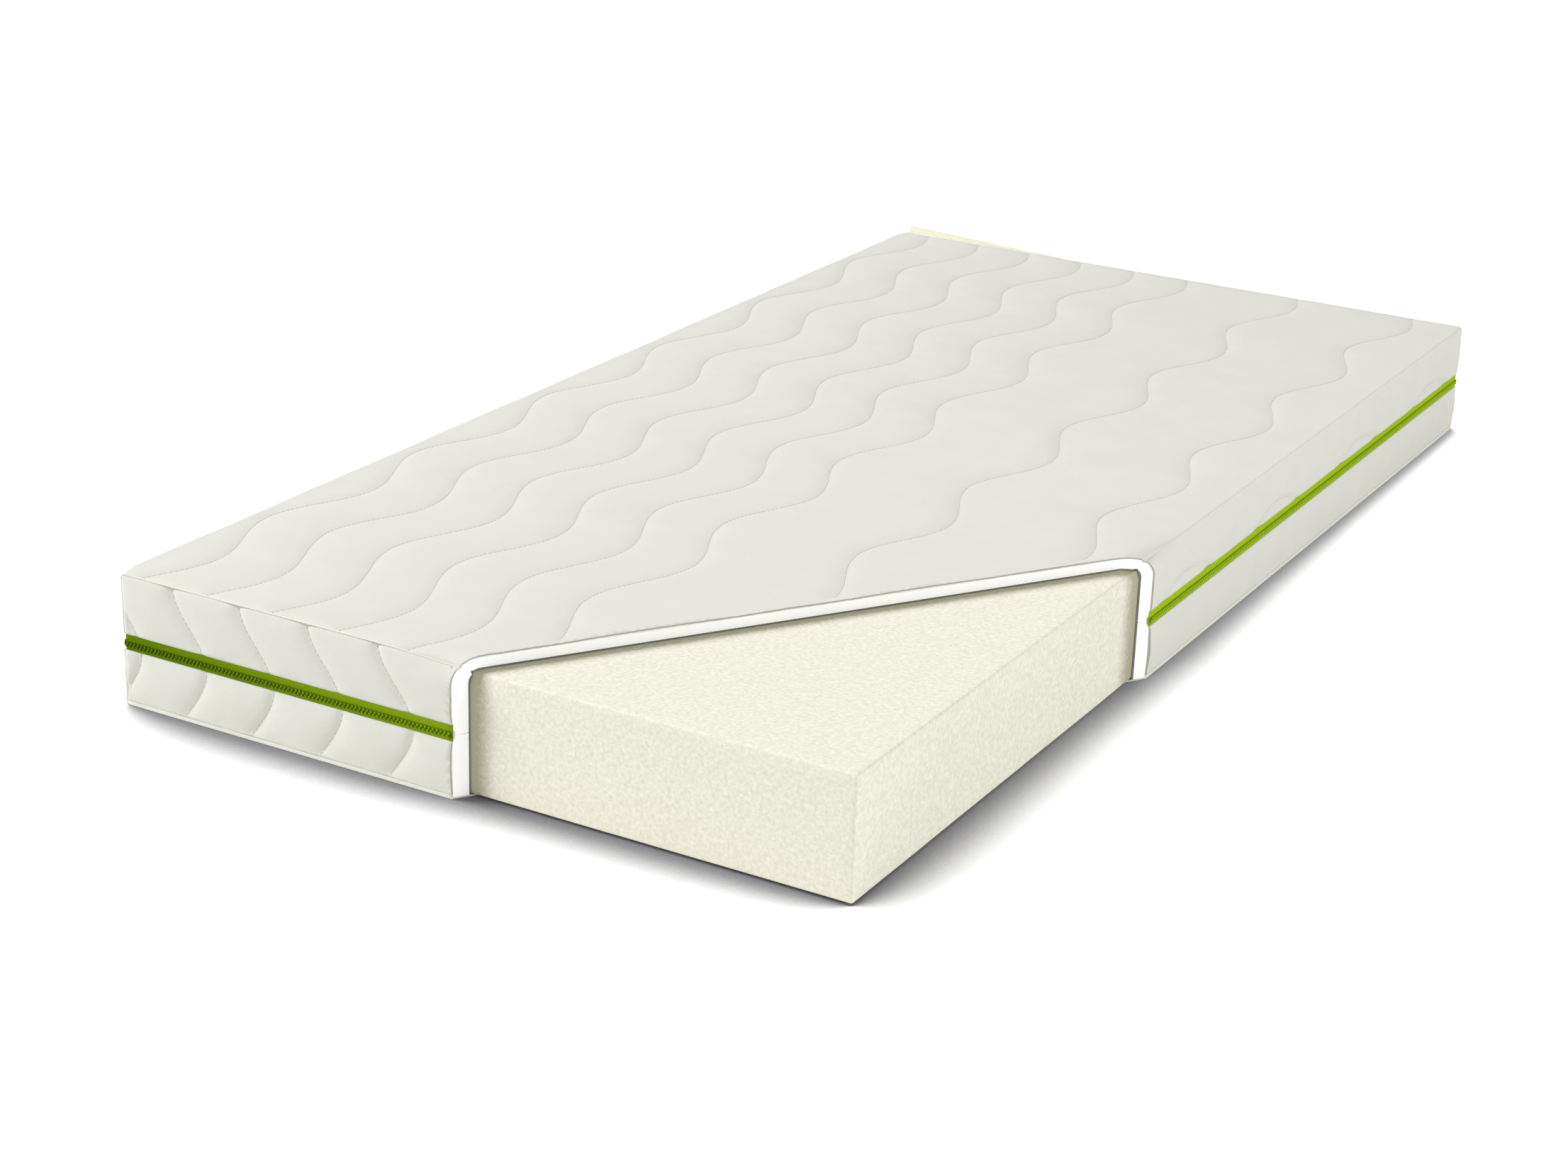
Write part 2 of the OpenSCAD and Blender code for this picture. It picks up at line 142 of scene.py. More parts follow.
@dataclass
class Surface:
    """Points, and groups of faces with as many corners each: the corners' numbers, and their places on the cloth."""

    points: Array
    faces: list[tuple[Array, Array]]
    attributes: dict[str, Array] = field(default_factory=dict)

    def flipped(self) -> "Surface":
        """The same surface with its faces turned over."""
        return Surface(self.points, [(f[:, ::-1], uv[:, ::-1]) for f, uv in self.faces], self.attributes)

    @staticmethod
    def joined(parts: list["Surface"]) -> "Surface":
        """All the parts in one surface, with their numbers moved on.

        Args:
            parts: The surfaces.

        Returns:
            The one surface, without their attributes.
        """
        starts = np.cumsum([0] + [len(p.points) for p in parts])
        faces = [(f + start, uv) for part, start in zip(parts, starts) for f, uv in part.faces]
        return Surface(np.concatenate([p.points for p in parts]), faces)


def grid_quads(rows: int, columns: int, wrap_rows: bool, wrap_columns: bool) -> tuple[Array, Array]:
    """Corners of the quads of a grid, which turn from the columns' direction to the rows'.

    Args:
        rows: Number of rows of points.
        columns: Number of points in a row.
        wrap_rows: Whether the last row joins the first.
        wrap_columns: Whether the last column joins the first.

    Returns:
        Vertex numbers, and numbers in a grid that is one row and column larger, for the places on the cloth.
    """
    i = np.arange(rows if wrap_rows else rows - 1)[:, None]
    j = np.arange(columns if wrap_columns else columns - 1)[None, :]
    i, j = np.broadcast_arrays(i, j)
    corners = ((i, j), (i, j + 1), (i + 1, j + 1), (i + 1, j))
    vertex = vec(*((a % rows) * columns + b % columns for a, b in corners))
    place = vec(*(a * (columns + 1) + b for a, b in corners))
    return vertex.reshape(-1, 4), place.reshape(-1, 4)


def shell(outer: Array, inner: Array, u: Array, v: Array, flip: bool = False) -> Surface:
    """Closed layer of cloth between two grids of points: both grids, and a wall along each of the four borders.

    Args:
        outer: Points of the outer face, rows by columns by 3.
        inner: Points of the inner face, of the same shape.
        u: Places on the cloth across, rows by columns.
        v: Places on the cloth along.
        flip: Whether the columns' and rows' directions give an inward normal.

    Returns:
        The closed surface.
    """
    rows, columns = outer.shape[:2]
    count = rows * columns
    quads, _ = grid_quads(rows, columns, False, False)
    number = np.arange(count).reshape(rows, columns)
    rim = np.concatenate([number[0, :-1], number[:-1, -1], number[-1, :0:-1], number[:0:-1, 0]])
    after = np.roll(rim, -1)
    faces = np.concatenate([quads, quads[:, ::-1] + count, vec(rim, rim + count, after + count, after)])
    points = np.concatenate([outer.reshape(-1, 3), inner.reshape(-1, 3)])
    made = Surface(points, [(faces, vec(u, v).reshape(-1, 2)[faces % count])])
    return made.flipped() if flip else made


def carried(centres: Array, out: Array, side: Array, profile: Array, lengths: Array, closed: bool) -> Surface:
    """Closed profile carried along a path: point = centre + out * profile's x + side * profile's y.

    Args:
        centres: Points of the path, n by 3.
        out: Direction of the profile's x at each point, n by 3.
        side: Direction of the profile's y at each point, n by 3.
        profile: m by 2, or n by m by 2 where it changes along the path. It runs from x towards y.
        lengths: Length of the path at each point, and the whole length after them if the path is closed.
        closed: Whether the path's end joins its start. An open path gets a cap at each end.

    Returns:
        The closed surface.
    """
    n, m = len(centres), profile.shape[-2]
    shape = np.broadcast_to(profile, (n, m, 2))
    points = (centres[:, None] + out[:, None] * shape[..., :1] + side[:, None] * shape[..., 1:]).reshape(-1, 3)
    uv = np.zeros((n + 1, m + 1, 2))
    uv[: len(lengths), :, 0], uv[:, :, 1] = lengths[:, None], run_length(np.vstack([shape[0], shape[0][:1]]))
    quads, place = grid_quads(n, m, closed, True)
    faces = [(quads, uv.reshape(-1, 2)[place])]
    if not closed:
        j = np.arange(m)
        k, end = (j + 1) % m, (n - 1) * m
        points = np.vstack([points, points[:m].mean(0), points[-m:].mean(0)])
        caps = np.concatenate([vec(n * m, k, j), vec(n * m + 1, end + j, end + k)])
        faces.append((caps, np.zeros((2 * m, 3, 2))))
    made = Surface(points, faces)
    return made.flipped() if np.cross(out[0], side[0]) @ (centres[1] - centres[0]) < 0 else made


def grain(length: float, width: float, height: float) -> Surface:
    """Small rounded body along x, such as one stitch: three rings of six points between two poles.

    The ring at share t along the length has the radius sqrt(1 - (2t - 1)^4), so the ends are blunt.

    Args:
        length: Size along x.
        width: Size along y.
        height: Size along z.

    Returns:
        The closed body, about the origin.
    """
    t, j = np.array([0.12, 0.5, 0.88])[:, None], np.arange(6)
    turn, radius = turns(6), np.sqrt(1 - (2 * t - 1) ** 4)
    rings = vec((t - 0.5) * length, radius * np.cos(turn) * width / 2, radius * np.sin(turn) * height / 2)
    points = np.vstack([rings.reshape(-1, 3), [-length / 2, 0, 0], [length / 2, 0, 0]])
    quads, _ = grid_quads(3, 6, False, True)
    k = (j + 1) % 6
    tris = np.concatenate([vec(18, k, j), vec(19, 12 + j, 12 + k)])
    return Surface(points, [(f, points[f][..., :2]) for f in (quads, tris)]).flipped()


def strewn(body: Surface, centres: Array, axes: Array) -> Surface:
    """Copies of one small body: point = centre + axes @ the body's own point.

    Args:
        body: The body, at the origin.
        centres: Places, n by 3.
        axes: Its x, y and z directions as rows, n by 3 by 3.

    Returns:
        All the copies in one surface.
    """
    n, size = len(centres), len(body.points)
    points = centres[:, None] + np.einsum("pi,nij->npj", body.points, axes)
    shift = (np.arange(n) * size)[:, None, None]
    faces = [((f[None] + shift).reshape(-1, f.shape[1]), np.tile(uv, (n, 1, 1))) for f, uv in body.faces]
    return Surface(points.reshape(-1, 3), faces)


def along_line(points: Array, normals: Array, pitch: float) -> tuple[Array, Array]:
    """Evenly spaced places on a line, each with its axes: along the line, across it and out of the surface.

    Args:
        points: Points of the line, close together, n by 3.
        normals: The surface's normal at each point.
        pitch: Distance from one place to the next.

    Returns:
        The places, n by 3, and their axes, n by 3 by 3.
    """
    run = run_length(points)
    at = np.arange(pitch / 2, run[-1], pitch)
    place, tangent, normal = (
        vec(*(np.interp(at, run, row) for row in values.T)) for values in (points, np.gradient(points, axis=0), normals)
    )
    tangent = unit(tangent)
    normal = unit(normal - (normal * tangent).sum(-1, keepdims=True) * tangent)
    return place, np.stack([tangent, np.cross(normal, tangent), normal], 1)


def make_object(name: str, surface: Surface, finishes: list[Material], smooth: bool = True) -> Piece:
    """Puts a surface into a mesh object that sits at the origin.

    Args:
        name: The piece's name.
        surface: Points, faces and places on the cloth.
        finishes: Materials by slot; every face starts on the first.
        smooth: Whether the faces shade smoothly.

    Returns:
        The linked object.
    """
    mesh = bpy.data.meshes.new(name)
    mesh.vertices.add(len(surface.points))
    mesh.vertices.foreach_set("co", surface.points.astype(np.float32).ravel())
    corners = np.concatenate([np.full(len(f), f.shape[1]) for f, _ in surface.faces])
    mesh.loops.add(int(corners.sum()))
    mesh.loops.foreach_set("vertex_index", np.concatenate([f.ravel() for f, _ in surface.faces]).astype(np.int32))
    mesh.polygons.add(len(corners))
    mesh.polygons.foreach_set("loop_start", (np.cumsum(corners) - corners).astype(np.int32))
    mesh.update(calc_edges=True)
    uv = np.concatenate([uv.ravel() for _, uv in surface.faces]).astype(np.float32)
    mesh.uv_layers.new(name="cloth").data.foreach_set("uv", uv)
    for key, values in surface.attributes.items():
        mesh.attributes.new(key, "FLOAT", "POINT").data.foreach_set("value", values.astype(np.float32))
    mesh.validate()
    mesh.polygons.foreach_set("use_smooth", np.full(len(mesh.polygons), smooth))
    for finish in finishes:
        mesh.materials.append(finish)
    made = bpy.data.objects.new(name, mesh)
    bpy.context.scene.collection.objects.link(made)
    return made


def declare(piece: Piece, slot: str, body: str, *nodes: str) -> None:
    """Hangs a piece on the CAD body that carries it, hides the CAD nodes that it stands for, and reports its faces.

    Args:
        piece: The piece.
        slot: The slot of its material; not used.
        body: The CAD body that carries it.
        nodes: The CAD nodes that it stands for.
    """
    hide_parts(*nodes)
    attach(piece, body)
    log.info("%s: %d faces", piece.name, len(piece.data.polygons))


# ---- Finishes ----


def own_place(tree: Tree, space: str = "Object") -> Socket:
    """The piece's own coordinates, or with "UV" the places on its cloth."""
    return add_node(tree, "TexCoord", {}).outputs[space]


def noise(tree: Tree, size: float, detail: float, space: str = "Object", **more: float) -> Socket:
    """Noise of one size on the piece's own coordinates, or with "UV" on its cloth."""
    settings = {"Scale": 1 / size, "Detail": detail, "Vector": own_place(tree, space), **more}
    return add_node(tree, "TexNoise", settings).outputs["Fac"]


def bands(tree: Tree, width: float, direction: str, distortion: float, detail: float = 1.0) -> Socket:
    """Waves of one width on the cloth.

    Args:
        tree: The tree to add the nodes to.
        width: The waves' length.
        direction: "X", "Y" or "DIAGONAL".
        distortion: How uneven they are.
        detail: How fine their unevenness is.

    Returns:
        The waves, from 0 to 1.
    """
    scale = 2 * math.pi / 20 / width
    settings = {"Scale": scale, "Distortion": distortion, "Detail": detail, "Vector": own_place(tree, "UV")}
    return add_node(tree, "TexWave", {"bands_direction": direction, **settings}).outputs["Fac"]


def scaled_mix(tree: Tree, parts: list[tuple[Socket, float]], start: float = 0.0) -> Socket:
    """Sum of a start value and each socket times its own factor.

    Args:
        tree: The tree to add the nodes to.
        parts: Pairs of a socket and its factor.
        start: The start value.

    Returns:
        The sum.
    """
    total = start
    for socket, factor in parts:
        total = add_node(tree, "Math", {"operation": "MULTIPLY_ADD", 0: socket, 1: factor, 2: total}).outputs[0]
    return total


def own_axis(tree: Tree, axis: str) -> Socket:
    """The piece's own coordinate along one axis, such as X across the bed, from -0.5 on the left to 0.5."""
    return add_node(tree, "SeparateXYZ", {0: own_place(tree)}).outputs[axis]


@dataclass(frozen=True)
class Finish:
    """One material: a colour that varies between two tones, and a fine relief.

    A subclass gives the pattern as two sockets, the height and the share of the light tone.
    """

    name: str
    light: str
    dark: str
    roughness: float
    relief: float
    specular: float
    painted_glow: float = 0.0

    def pattern(self, tree: Tree) -> tuple[Socket, Socket]:
        """Height and tone of a surface that is only slightly uneven."""
        grey = noise(tree, 4 * MM, 3.0)
        return grey, grey

    def material(self) -> Material:
        """Builds the material's nodes.

        Returns:
            The material, named for the finish.
        """
        made = bpy.data.materials.new(self.name)
        made.use_nodes = True
        tree = made.node_tree
        shader = tree.nodes["Principled BSDF"]
        shader.inputs["Roughness"].default_value = self.roughness
        shader.inputs["Specular IOR Level"].default_value = self.specular
        # Painted light: a glow of the surface's own; only the wadding has one.
        shader.inputs["Emission Strength"].default_value = self.painted_glow
        height, tone = self.pattern(tree)
        colour = add_node(tree, "Mix", {"data_type": "RGBA", 0: tone, 6: linear(self.dark), 7: linear(self.light)})
        bump = add_node(tree, "Bump", {"Strength": 1.0, "Distance": self.relief, "Height": height})
        tree.links.new(colour.outputs[2], shader.inputs["Base Color"])
        tree.links.new(bump.outputs["Normal"], shader.inputs["Normal"])
        made.diffuse_color = linear(self.light)
        return made


@dataclass(frozen=True)
class Knit(Finish):
    """Double-jersey mattress ticking, circular-knitted: soft, matt, with fine wales and a faint cloudiness.

    The wales of the real cloth are 1 mm apart. They are drawn at 2 mm, because finer ones don't show.
    """

    wale: float = 2.0 * MM

    def pattern(self, tree: Tree) -> tuple[Socket, Socket]:
        """Wales and courses across and along the cloth, clouds of 50 mm, puckers beside the stitches, and painted shade
        along the stitch lines.

        Args:
            tree: The material's tree.

        Returns:
            Height and tone.
        """
        wales, courses = bands(tree, self.wale, "X", 0.6), bands(tree, self.wale * 0.8, "Y", 0.6)
        clouds, fuzz = noise(tree, 50 * MM, 4.0), noise(tree, 3 * MM, 4.0)
        near = add_node(tree, "Attribute", {"attribute_name": "stitched"}).outputs["Fac"]
        pucker = noise(tree, 11 * MM, 2.0, Distortion=0.4)
        ruck = add_node(tree, "Math", {"operation": "MULTIPLY", 0: pucker, 1: near}).outputs[0]
        height = scaled_mix(tree, [(wales, 0.5), (courses, 0.4), (fuzz, 0.9), (ruck, 5.0)])
        # Painted shade: the tone darkens along the stitch lines, where the valleys are.
        return height, scaled_mix(tree, [(clouds, 0.7), (fuzz, 0.35), (near, -0.3)])


@dataclass(frozen=True)
class Fibre(Finish):
    """Needle-punched polyester: matt, with fibres that lie along the cloth.

    The white wadding is given a faint glow of its own, painted light that lifts it towards full white.
    """

    fibre: float = 1.5 * MM

    def pattern(self, tree: Tree) -> tuple[Socket, Socket]:
        """Noise drawn out level, so that it reads as layers of fibres.

        Args:
            tree: The material's tree.

        Returns:
            Height and tone.
        """
        flat = add_node(tree, "Mapping", {"Scale": (0.35, 0.35, 1.6), "Vector": own_place(tree)}).outputs[0]
        settings = {"Scale": 1 / self.fibre, "Detail": 5.0, "Distortion": 0.8, "Vector": flat}
        layers = add_node(tree, "TexNoise", settings).outputs["Fac"]
        return layers, layers


@dataclass(frozen=True)
class OpenCell(Finish):
    """Block-cut polyurethane foam: cream, dead matt, with a mottle where the knife has opened its cells.

    The cells are under 1 mm. A mottle of 5 mm and a grain of 2 mm stand for them, because single cells don't show.
    """

    cut_normal: tuple[float, ...] = (1.0, 0.0, 0.0)
    cut_at: float = 0.0
    mottle: float = 5.0 * MM
    grain: float = 2.0 * MM
    shade: float = 30 * MM

    def pattern(self, tree: Tree) -> tuple[Socket, Socket]:
        """A soft mottle, with open cells as dark dimples, and painted shade that fades out within 30 mm of the cover's
        cut.

        Args:
            tree: The material's tree.

        Returns:
            Height and tone.
        """
        place = own_place(tree)
        blotch = noise(tree, self.mottle, 5.0, Roughness=0.62)
        settings = {"feature": "SMOOTH_F1", "Scale": 1 / self.grain, "Smoothness": 0.5, "Vector": place}
        cells = add_node(tree, "TexVoronoi", settings).outputs["Distance"]
        # Painted shade: the tone darkens towards the cover's cut, where the quilt stands proud of the foam.
        past = add_node(tree, "VectorMath", {"operation": "DOT_PRODUCT", 0: place, 1: self.cut_normal}).outputs["Value"]
        away = add_node(tree, "Math", {"operation": "ABSOLUTE", 0: scaled_mix(tree, [(past, 1.0)], -self.cut_at)})
        settings = {"interpolation_type": "SMOOTHSTEP", "From Max": self.shade, "To Min": 1.0, "To Max": 0.0}
        painted_cut_shade = add_node(tree, "MapRange", {**settings, "Value": away.outputs[0]}).outputs[0]
        return (scaled_mix(tree, [(blotch, 2.0), (cells, 1.0)]),
                scaled_mix(tree, [(blotch, 0.9), (cells, 0.11), (painted_cut_shade, -0.95)], 0.31))


@dataclass(frozen=True)
class Twill(Finish):
    """Woven polyester zip tape, dyed lime: matt, with a twill line, and painted shade that darkens it towards the bed's
    left side.

    The real twill line is 0.6 mm wide. It is drawn at 1.8 mm, because a finer one doesn't show.
    """

    line: float = 1.8 * MM

    def pattern(self, tree: Tree) -> tuple[Socket, Socket]:
        """Diagonal lines on the cloth's own places, broken up by single threads, over painted shade across the bed.

        Args:
            tree: The material's tree.

        Returns:
            Height and tone.
        """
        lines, threads = bands(tree, self.line, "DIAGONAL", 1.2), noise(tree, self.line, 3.0, "UV")
        both = scaled_mix(tree, [(lines, 0.6), (threads, 0.8)])
        # Painted shade: the tone falls from the bed's right side towards its left.
        return both, scaled_mix(tree, [(both, 0.3), (own_axis(tree, "X"), 0.75)], 0.3)


@dataclass(frozen=True)
class Filament(Finish):
    """Nylon monofilament, dyed lime with the tape: satin, nearly even, with painted shade that darkens it towards the
    bed's left side.
    """

    def pattern(self, tree: Tree) -> tuple[Socket, Socket]:
        """Unevenness of 5 mm, over painted shade that darkens slowly towards the bed's left side."""
        grey = noise(tree, 5 * MM, 3.0)
        # Painted shade: the tone falls from the bed's right side towards its left.
        return grey, scaled_mix(tree, [(grey, 0.3), (own_axis(tree, "X"), 0.75)], 0.35)


@dataclass(frozen=True)
class Yarn(Finish):
    """Twisted polyester sewing thread or knitted trim: satin, with a slanting ply line."""

    ply: float = 1.6 * MM

    def pattern(self, tree: Tree) -> tuple[Socket, Socket]:
        """Slanting bands along the yarn's own places."""
        both = scaled_mix(tree, [(bands(tree, self.ply, "DIAGONAL", 0.8, 2.0), 0.5), (noise(tree, 6 * MM, 3.0), 0.7)])
        return both, both


@dataclass(frozen=True)
class Enamel(Finish):
    """Die-cast zinc with stoved enamel: glossy, slightly orange-peeled, rubbed lighter along its edges."""

    def pattern(self, tree: Tree) -> tuple[Socket, Socket]:
        """Orange peel of 0.8 mm, with a lighter tone where the form is sharp.

        Args:
            tree: The material's tree.

        Returns:
            Height and tone.
        """
        peel = noise(tree, 0.8 * MM, 2.0)
        sharp = add_node(tree, "NewGeometry", {}).outputs["Pointiness"]
        rubbed = add_node(tree, "MapRange", {"From Min": 0.5, "From Max": 0.62, "Value": sharp}).outputs[0]
        return peel, scaled_mix(tree, [(rubbed, 0.5), (peel, 0.5)])


class Finishes:
    """Every finish of the mattress, made once."""

    def __init__(self, size: "CoverSize") -> None:
        """Builds the materials.

        Args:
            size: The cover's sizes; the foam's painted shade follows its cut.
        """
        cut = tuple(size.cut_normal.tolist()), -float(size.beyond_cut(np.zeros(3)))
        self.knit = Knit("double_jersey_ticking", "#e0e0da", "#d7d7ce", 0.95, 0.1 * MM, 0.08).material()
        self.knit_edge = Finish("jersey_cut_edge", "#bcb7b1", "#a29d95", 0.95, 0.1 * MM, 0.1).material()
        # The wadding's last number is its painted glow.
        self.fibre = Fibre("polyester_wadding", "#ffffff", "#fbfbfa", 0.95, 0.1 * MM, 0.1, 0.1).material()
        self.lining = Fibre("spunbond_lining", "#9b9990", "#85837a", 0.9, 0.05 * MM, 0.2).material()
        # The lining's cut edge: its own grey, darkened further as painted shade of the gap between lining and foam.
        self.lining_edge_gap_shade = Finish("lining_cut_edge", "#868479", "#6e6c64", 0.95, 0.05 * MM, 0.1).material()
        # The foam's dark tone is reached mostly where its painted shade lies beside the cut.
        self.foam = OpenCell("block_cut_foam", "#f3f1e2", "#adab93", 0.97, 0.12 * MM, 0.05, 0.0, *cut).material()
        self.base = Knit("underside_weave", "#d2d1c8", "#c5c4b9", 0.9, 0.12 * MM, 0.2).material()
        self.trim = Yarn("overlock_trim", "#e6e6de", "#dedccf", 0.8, 0.1 * MM, 0.2).material()
        self.overlock = Yarn("overlock_loops", "#eae9d3", "#dbdbba", 0.8, 0.1 * MM, 0.3).material()
        self.thread = Yarn("quilting_thread", "#dbd9cd", "#cbc9ba", 0.6, 0.05 * MM, 0.4).material()
        # Tape, coil and filler cord run from their dark tone at the bed's left to their light one at its right, as
        # painted shade.
        self.tape = Twill("zip_tape_twill", "#a7c520", "#4a6802", 0.9, 0.15 * MM, 0.0).material()
        self.coil = Filament("nylon_coil", "#a6c81c", "#426000", 0.7, 0.05 * MM, 0.05).material()
        self.coil_core = Filament("coil_filler_cord", "#6d8c0c", "#223500", 0.9, 0.05 * MM, 0.0).material()
        self.enamel = Enamel("enamelled_zinc", "#88a727", "#668615", 0.35, 0.02 * MM, 0.5).material()


# ---- The cover's form ----


@dataclass(frozen=True)
class CoverSize:
    """Sizes of the cover, taken from the CAD nodes where a node has them."""

    half_w: float
    half_l: float
    height: float
    band_top: float
    band_bottom: float
    zip_z: float
    edge_r: float = 8 * MM
    side_t: float = 12.5 * MM
    end_t: float = 19 * MM
    top_t: float = 15.5 * MM
    face_t: float = 1.5 * MM
    lining_t: float = 1.5 * MM
    base_t: float = 2 * MM
    binding_h: float = 5 * MM
    split: float = 0.8 * MM
    gap: float = 0.1 * MM
    cut_along_foot: float = 518 * MM
    cut_along_side: float = 768 * MM

    @classmethod
    def from_frame(cls) -> "CoverSize":
        """Reads the outer sizes off the CAD nodes' boxes.

        Returns:
            The sizes.
        """
        corner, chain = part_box("base_binding")[1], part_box("upper_zip_coil")[1].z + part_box("lower_zip_coil")[0].z
        return cls(corner.x, corner.y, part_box("top_face")[1].z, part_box("upper_zip_tape")[1].z,
                   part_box("lower_zip_tape")[0].z, chain / 2)

    @property
    def cut_start(self) -> Array:
        """Where the cut starts on the foot's lower edge."""
        return np.array([self.half_w - self.cut_along_foot, -self.half_l, 0.0])

    @property
    def cut_normal(self) -> Array:
        """Direction from the cut towards the corner that is gone."""
        return unit(np.array([self.cut_along_side, -self.cut_along_foot, 0.0]))

    def beyond_cut(self, points: Array) -> Array:
        """How far each point is past the cut; below 0 it is on the cover's side."""
        return (points - self.cut_start) @ self.cut_normal


class Layer(Enum):
    """The cover's layers, from outside inwards, with the slot of each."""

    FACE = "knit_face"
    WADDING = "quilt_wadding"
    LINING = "quilt_lining"


@dataclass
class CoverSkin:
    """The rounded box that the cover's outer face follows.

    Every point is C + N * (r + h): C is a place on the box inside the round edges, N the unit normal there, r the
    radius of the edges, and h the quilting's rise or fall. Deeper layers follow the same C and N.
    """

    size: CoverSize
    lead_in: float = 30 * MM
    min_r: float = 0.8 * MM
    slack: float = 30 * MM
    slack_behind: float = 45 * MM
    slack_before: float = 20 * MM
    flat_reach: float = 12 * MM
    turn_step: float = 2.1 * MM

    def __post_init__(self) -> None:
        """Works out the straight stretches between the round edges."""
        size = self.size
        self.flat, self.straight = size.half_w - size.edge_r, size.half_l - size.edge_r
        self.shoulder, self.quarter = size.height - size.edge_r, size.edge_r * math.pi / 2

    def depths(self, share: float, skin: float = 0.0) -> Array:
        """Depth along each axis, for a share of the quilt's own thickness there plus a fixed part."""
        return share * np.array([self.size.side_t, self.size.end_t, self.size.top_t]) + skin

    def place(self, form: tuple[Array, Array], depth: Array, h: Array | float) -> Array:
        """The points C' + N * (r' + h), with r' the layer's own radius, and C' the C that suits it.

        r' is r less the layer's mean depth, but 0.8 mm at least. C' is C drawn in over the last 30 mm before the round
        edges, so that the layer keeps its depth below every face.

        Args:
            form: C and N.
            depth: The layer's depth along each axis.
            h: Rise or fall at each point.

        Returns:
            The points.
        """
        size, (centre, normal) = self.size, form
        radius = max(size.edge_r - float(np.mean(depth)), self.min_r)
        reach = np.array([size.half_w, size.half_l, size.height]) - depth - radius
        lead = np.array([self.flat, self.straight, self.shoulder]) - self.lead_in
        beyond = np.maximum(np.abs(centre) - lead, 0)
        drawn = np.minimum(np.abs(centre), lead) + beyond * (reach - lead) / self.lead_in
        return self.relaxed(np.sign(centre) * drawn + normal * (radius + np.asarray(h)[..., None]))

    def relaxed(self, points: Array) -> Array:
        """Rounds the top edge more beside the cut, where no panel holds it any longer.

        In a square of 30 by 30 mm at the edge, a point at (a, b) from the square's inner corner moves towards
        (a, b) * max(a, b) / hypot(a, b), which lies on an arc. Its share of the way is e^(-(d / 45 mm)^2) at the
        distance d behind the cut, and falls off faster in front of it, where there is only foam.

        Args:
            points: Points of any layer.

        Returns:
            The moved points.
        """
        size, reach = self.size, self.slack
        d = size.beyond_cut(points)
        share = np.exp(-((d / np.where(d > 0, self.slack_before, self.slack_behind)) ** 2))
        moved = points.copy()
        for axis, edge in ((0, size.half_w), (1, size.half_l)):
            a = np.abs(moved[..., axis]) - (edge - reach)
            b = moved[..., 2] - (size.height - reach)
            pull = share * (1 - np.maximum(a, b) / np.maximum(np.hypot(a, b), 1e-9))
            pull = np.where((a > 0) & (b > 0), pull, 0.0)
            moved[..., 2] -= b * pull
            moved[..., axis] -= np.sign(moved[..., axis]) * a * pull
        return moved

    def held(self, centre: Array) -> Array:
        """How much of the quilting's relief is left: none at the cut, where the layers are stitched flat together."""
        return 1 - np.exp(-((self.size.beyond_cut(centre) / self.flat_reach) ** 2))

    def over(self, u: Array, v: Array) -> tuple[Array, Array]:
        """The saddle of cloth over the top and down both long sides.

        Args:
            u: Place across. From 0 in the middle of the top it runs flat, turns by u / r round the edge, then falls.
            v: Place along. It runs straight, then turns by v / r, to 45 degrees, where the seam of the end is.

        Returns:
            C and N for each pair of u and v.
        """
        u, v = np.broadcast_arrays(u, v)
        a, b = np.abs(u), np.abs(v)
        phi = np.sign(u) * np.clip((a - self.flat) / self.size.edge_r, 0, math.pi / 2)
        psi = np.sign(v) * np.clip((b - self.straight) / self.size.edge_r, 0, math.pi / 4)
        fallen = self.shoulder - np.maximum(a - self.flat - self.quarter, 0)
        centre = vec(np.sign(u) * np.minimum(a, self.flat), np.sign(v) * np.minimum(b, self.straight), fallen)
        return centre, vec(np.sin(phi) * np.cos(psi), np.sin(psi), np.cos(phi) * np.cos(psi))

    def side_u(self, z: Array | float) -> Array | float:
        """The u of a place at height z on the right side, and the height of a place at u there."""
        return self.flat + self.quarter + self.shoulder - z

    def end(self, x: Array, z: Array, way: int) -> tuple[Array, Array]:
        """One end, out to the seams that run halfway round its upright and top edges.

        The normal leans from the Y axis by 45 degrees times the larger of the two shares of the way into a round edge,
        towards the corner that the shares point at, so its border is the circle that the saddle's border follows too.

        Args:
            x: Places across.
            z: Places up.
            way: -1 for the foot, 1 for the head.

        Returns:
            C and N for each pair of x and z.
        """
        x, z = np.broadcast_arrays(x, z)
        px = np.clip((np.abs(x) - self.flat) / (self.quarter / 2), 0, 1)
        pz = np.clip((z - self.shoulder) / (self.quarter / 2), 0, 1)
        lean, reach = math.pi / 4 * np.maximum(px, pz), np.maximum(np.hypot(px, pz), 1e-9)
        centre = vec(np.sign(x) * np.minimum(np.abs(x), self.flat), way * self.straight, np.minimum(z, self.shoulder))
        return centre, vec(np.sin(lean) * np.sign(x) * px / reach, way * np.cos(lean), np.sin(lean) * pz / reach)

    def along(self, step: float) -> Array:
        """Places along the saddle, from seam to seam."""
        bend = spread(0, self.quarter / 2, self.turn_step)[1:]
        middle = spread(-self.straight, self.straight, step)
        return np.concatenate([middle[0] - bend[::-1], middle, middle[-1] + bend])


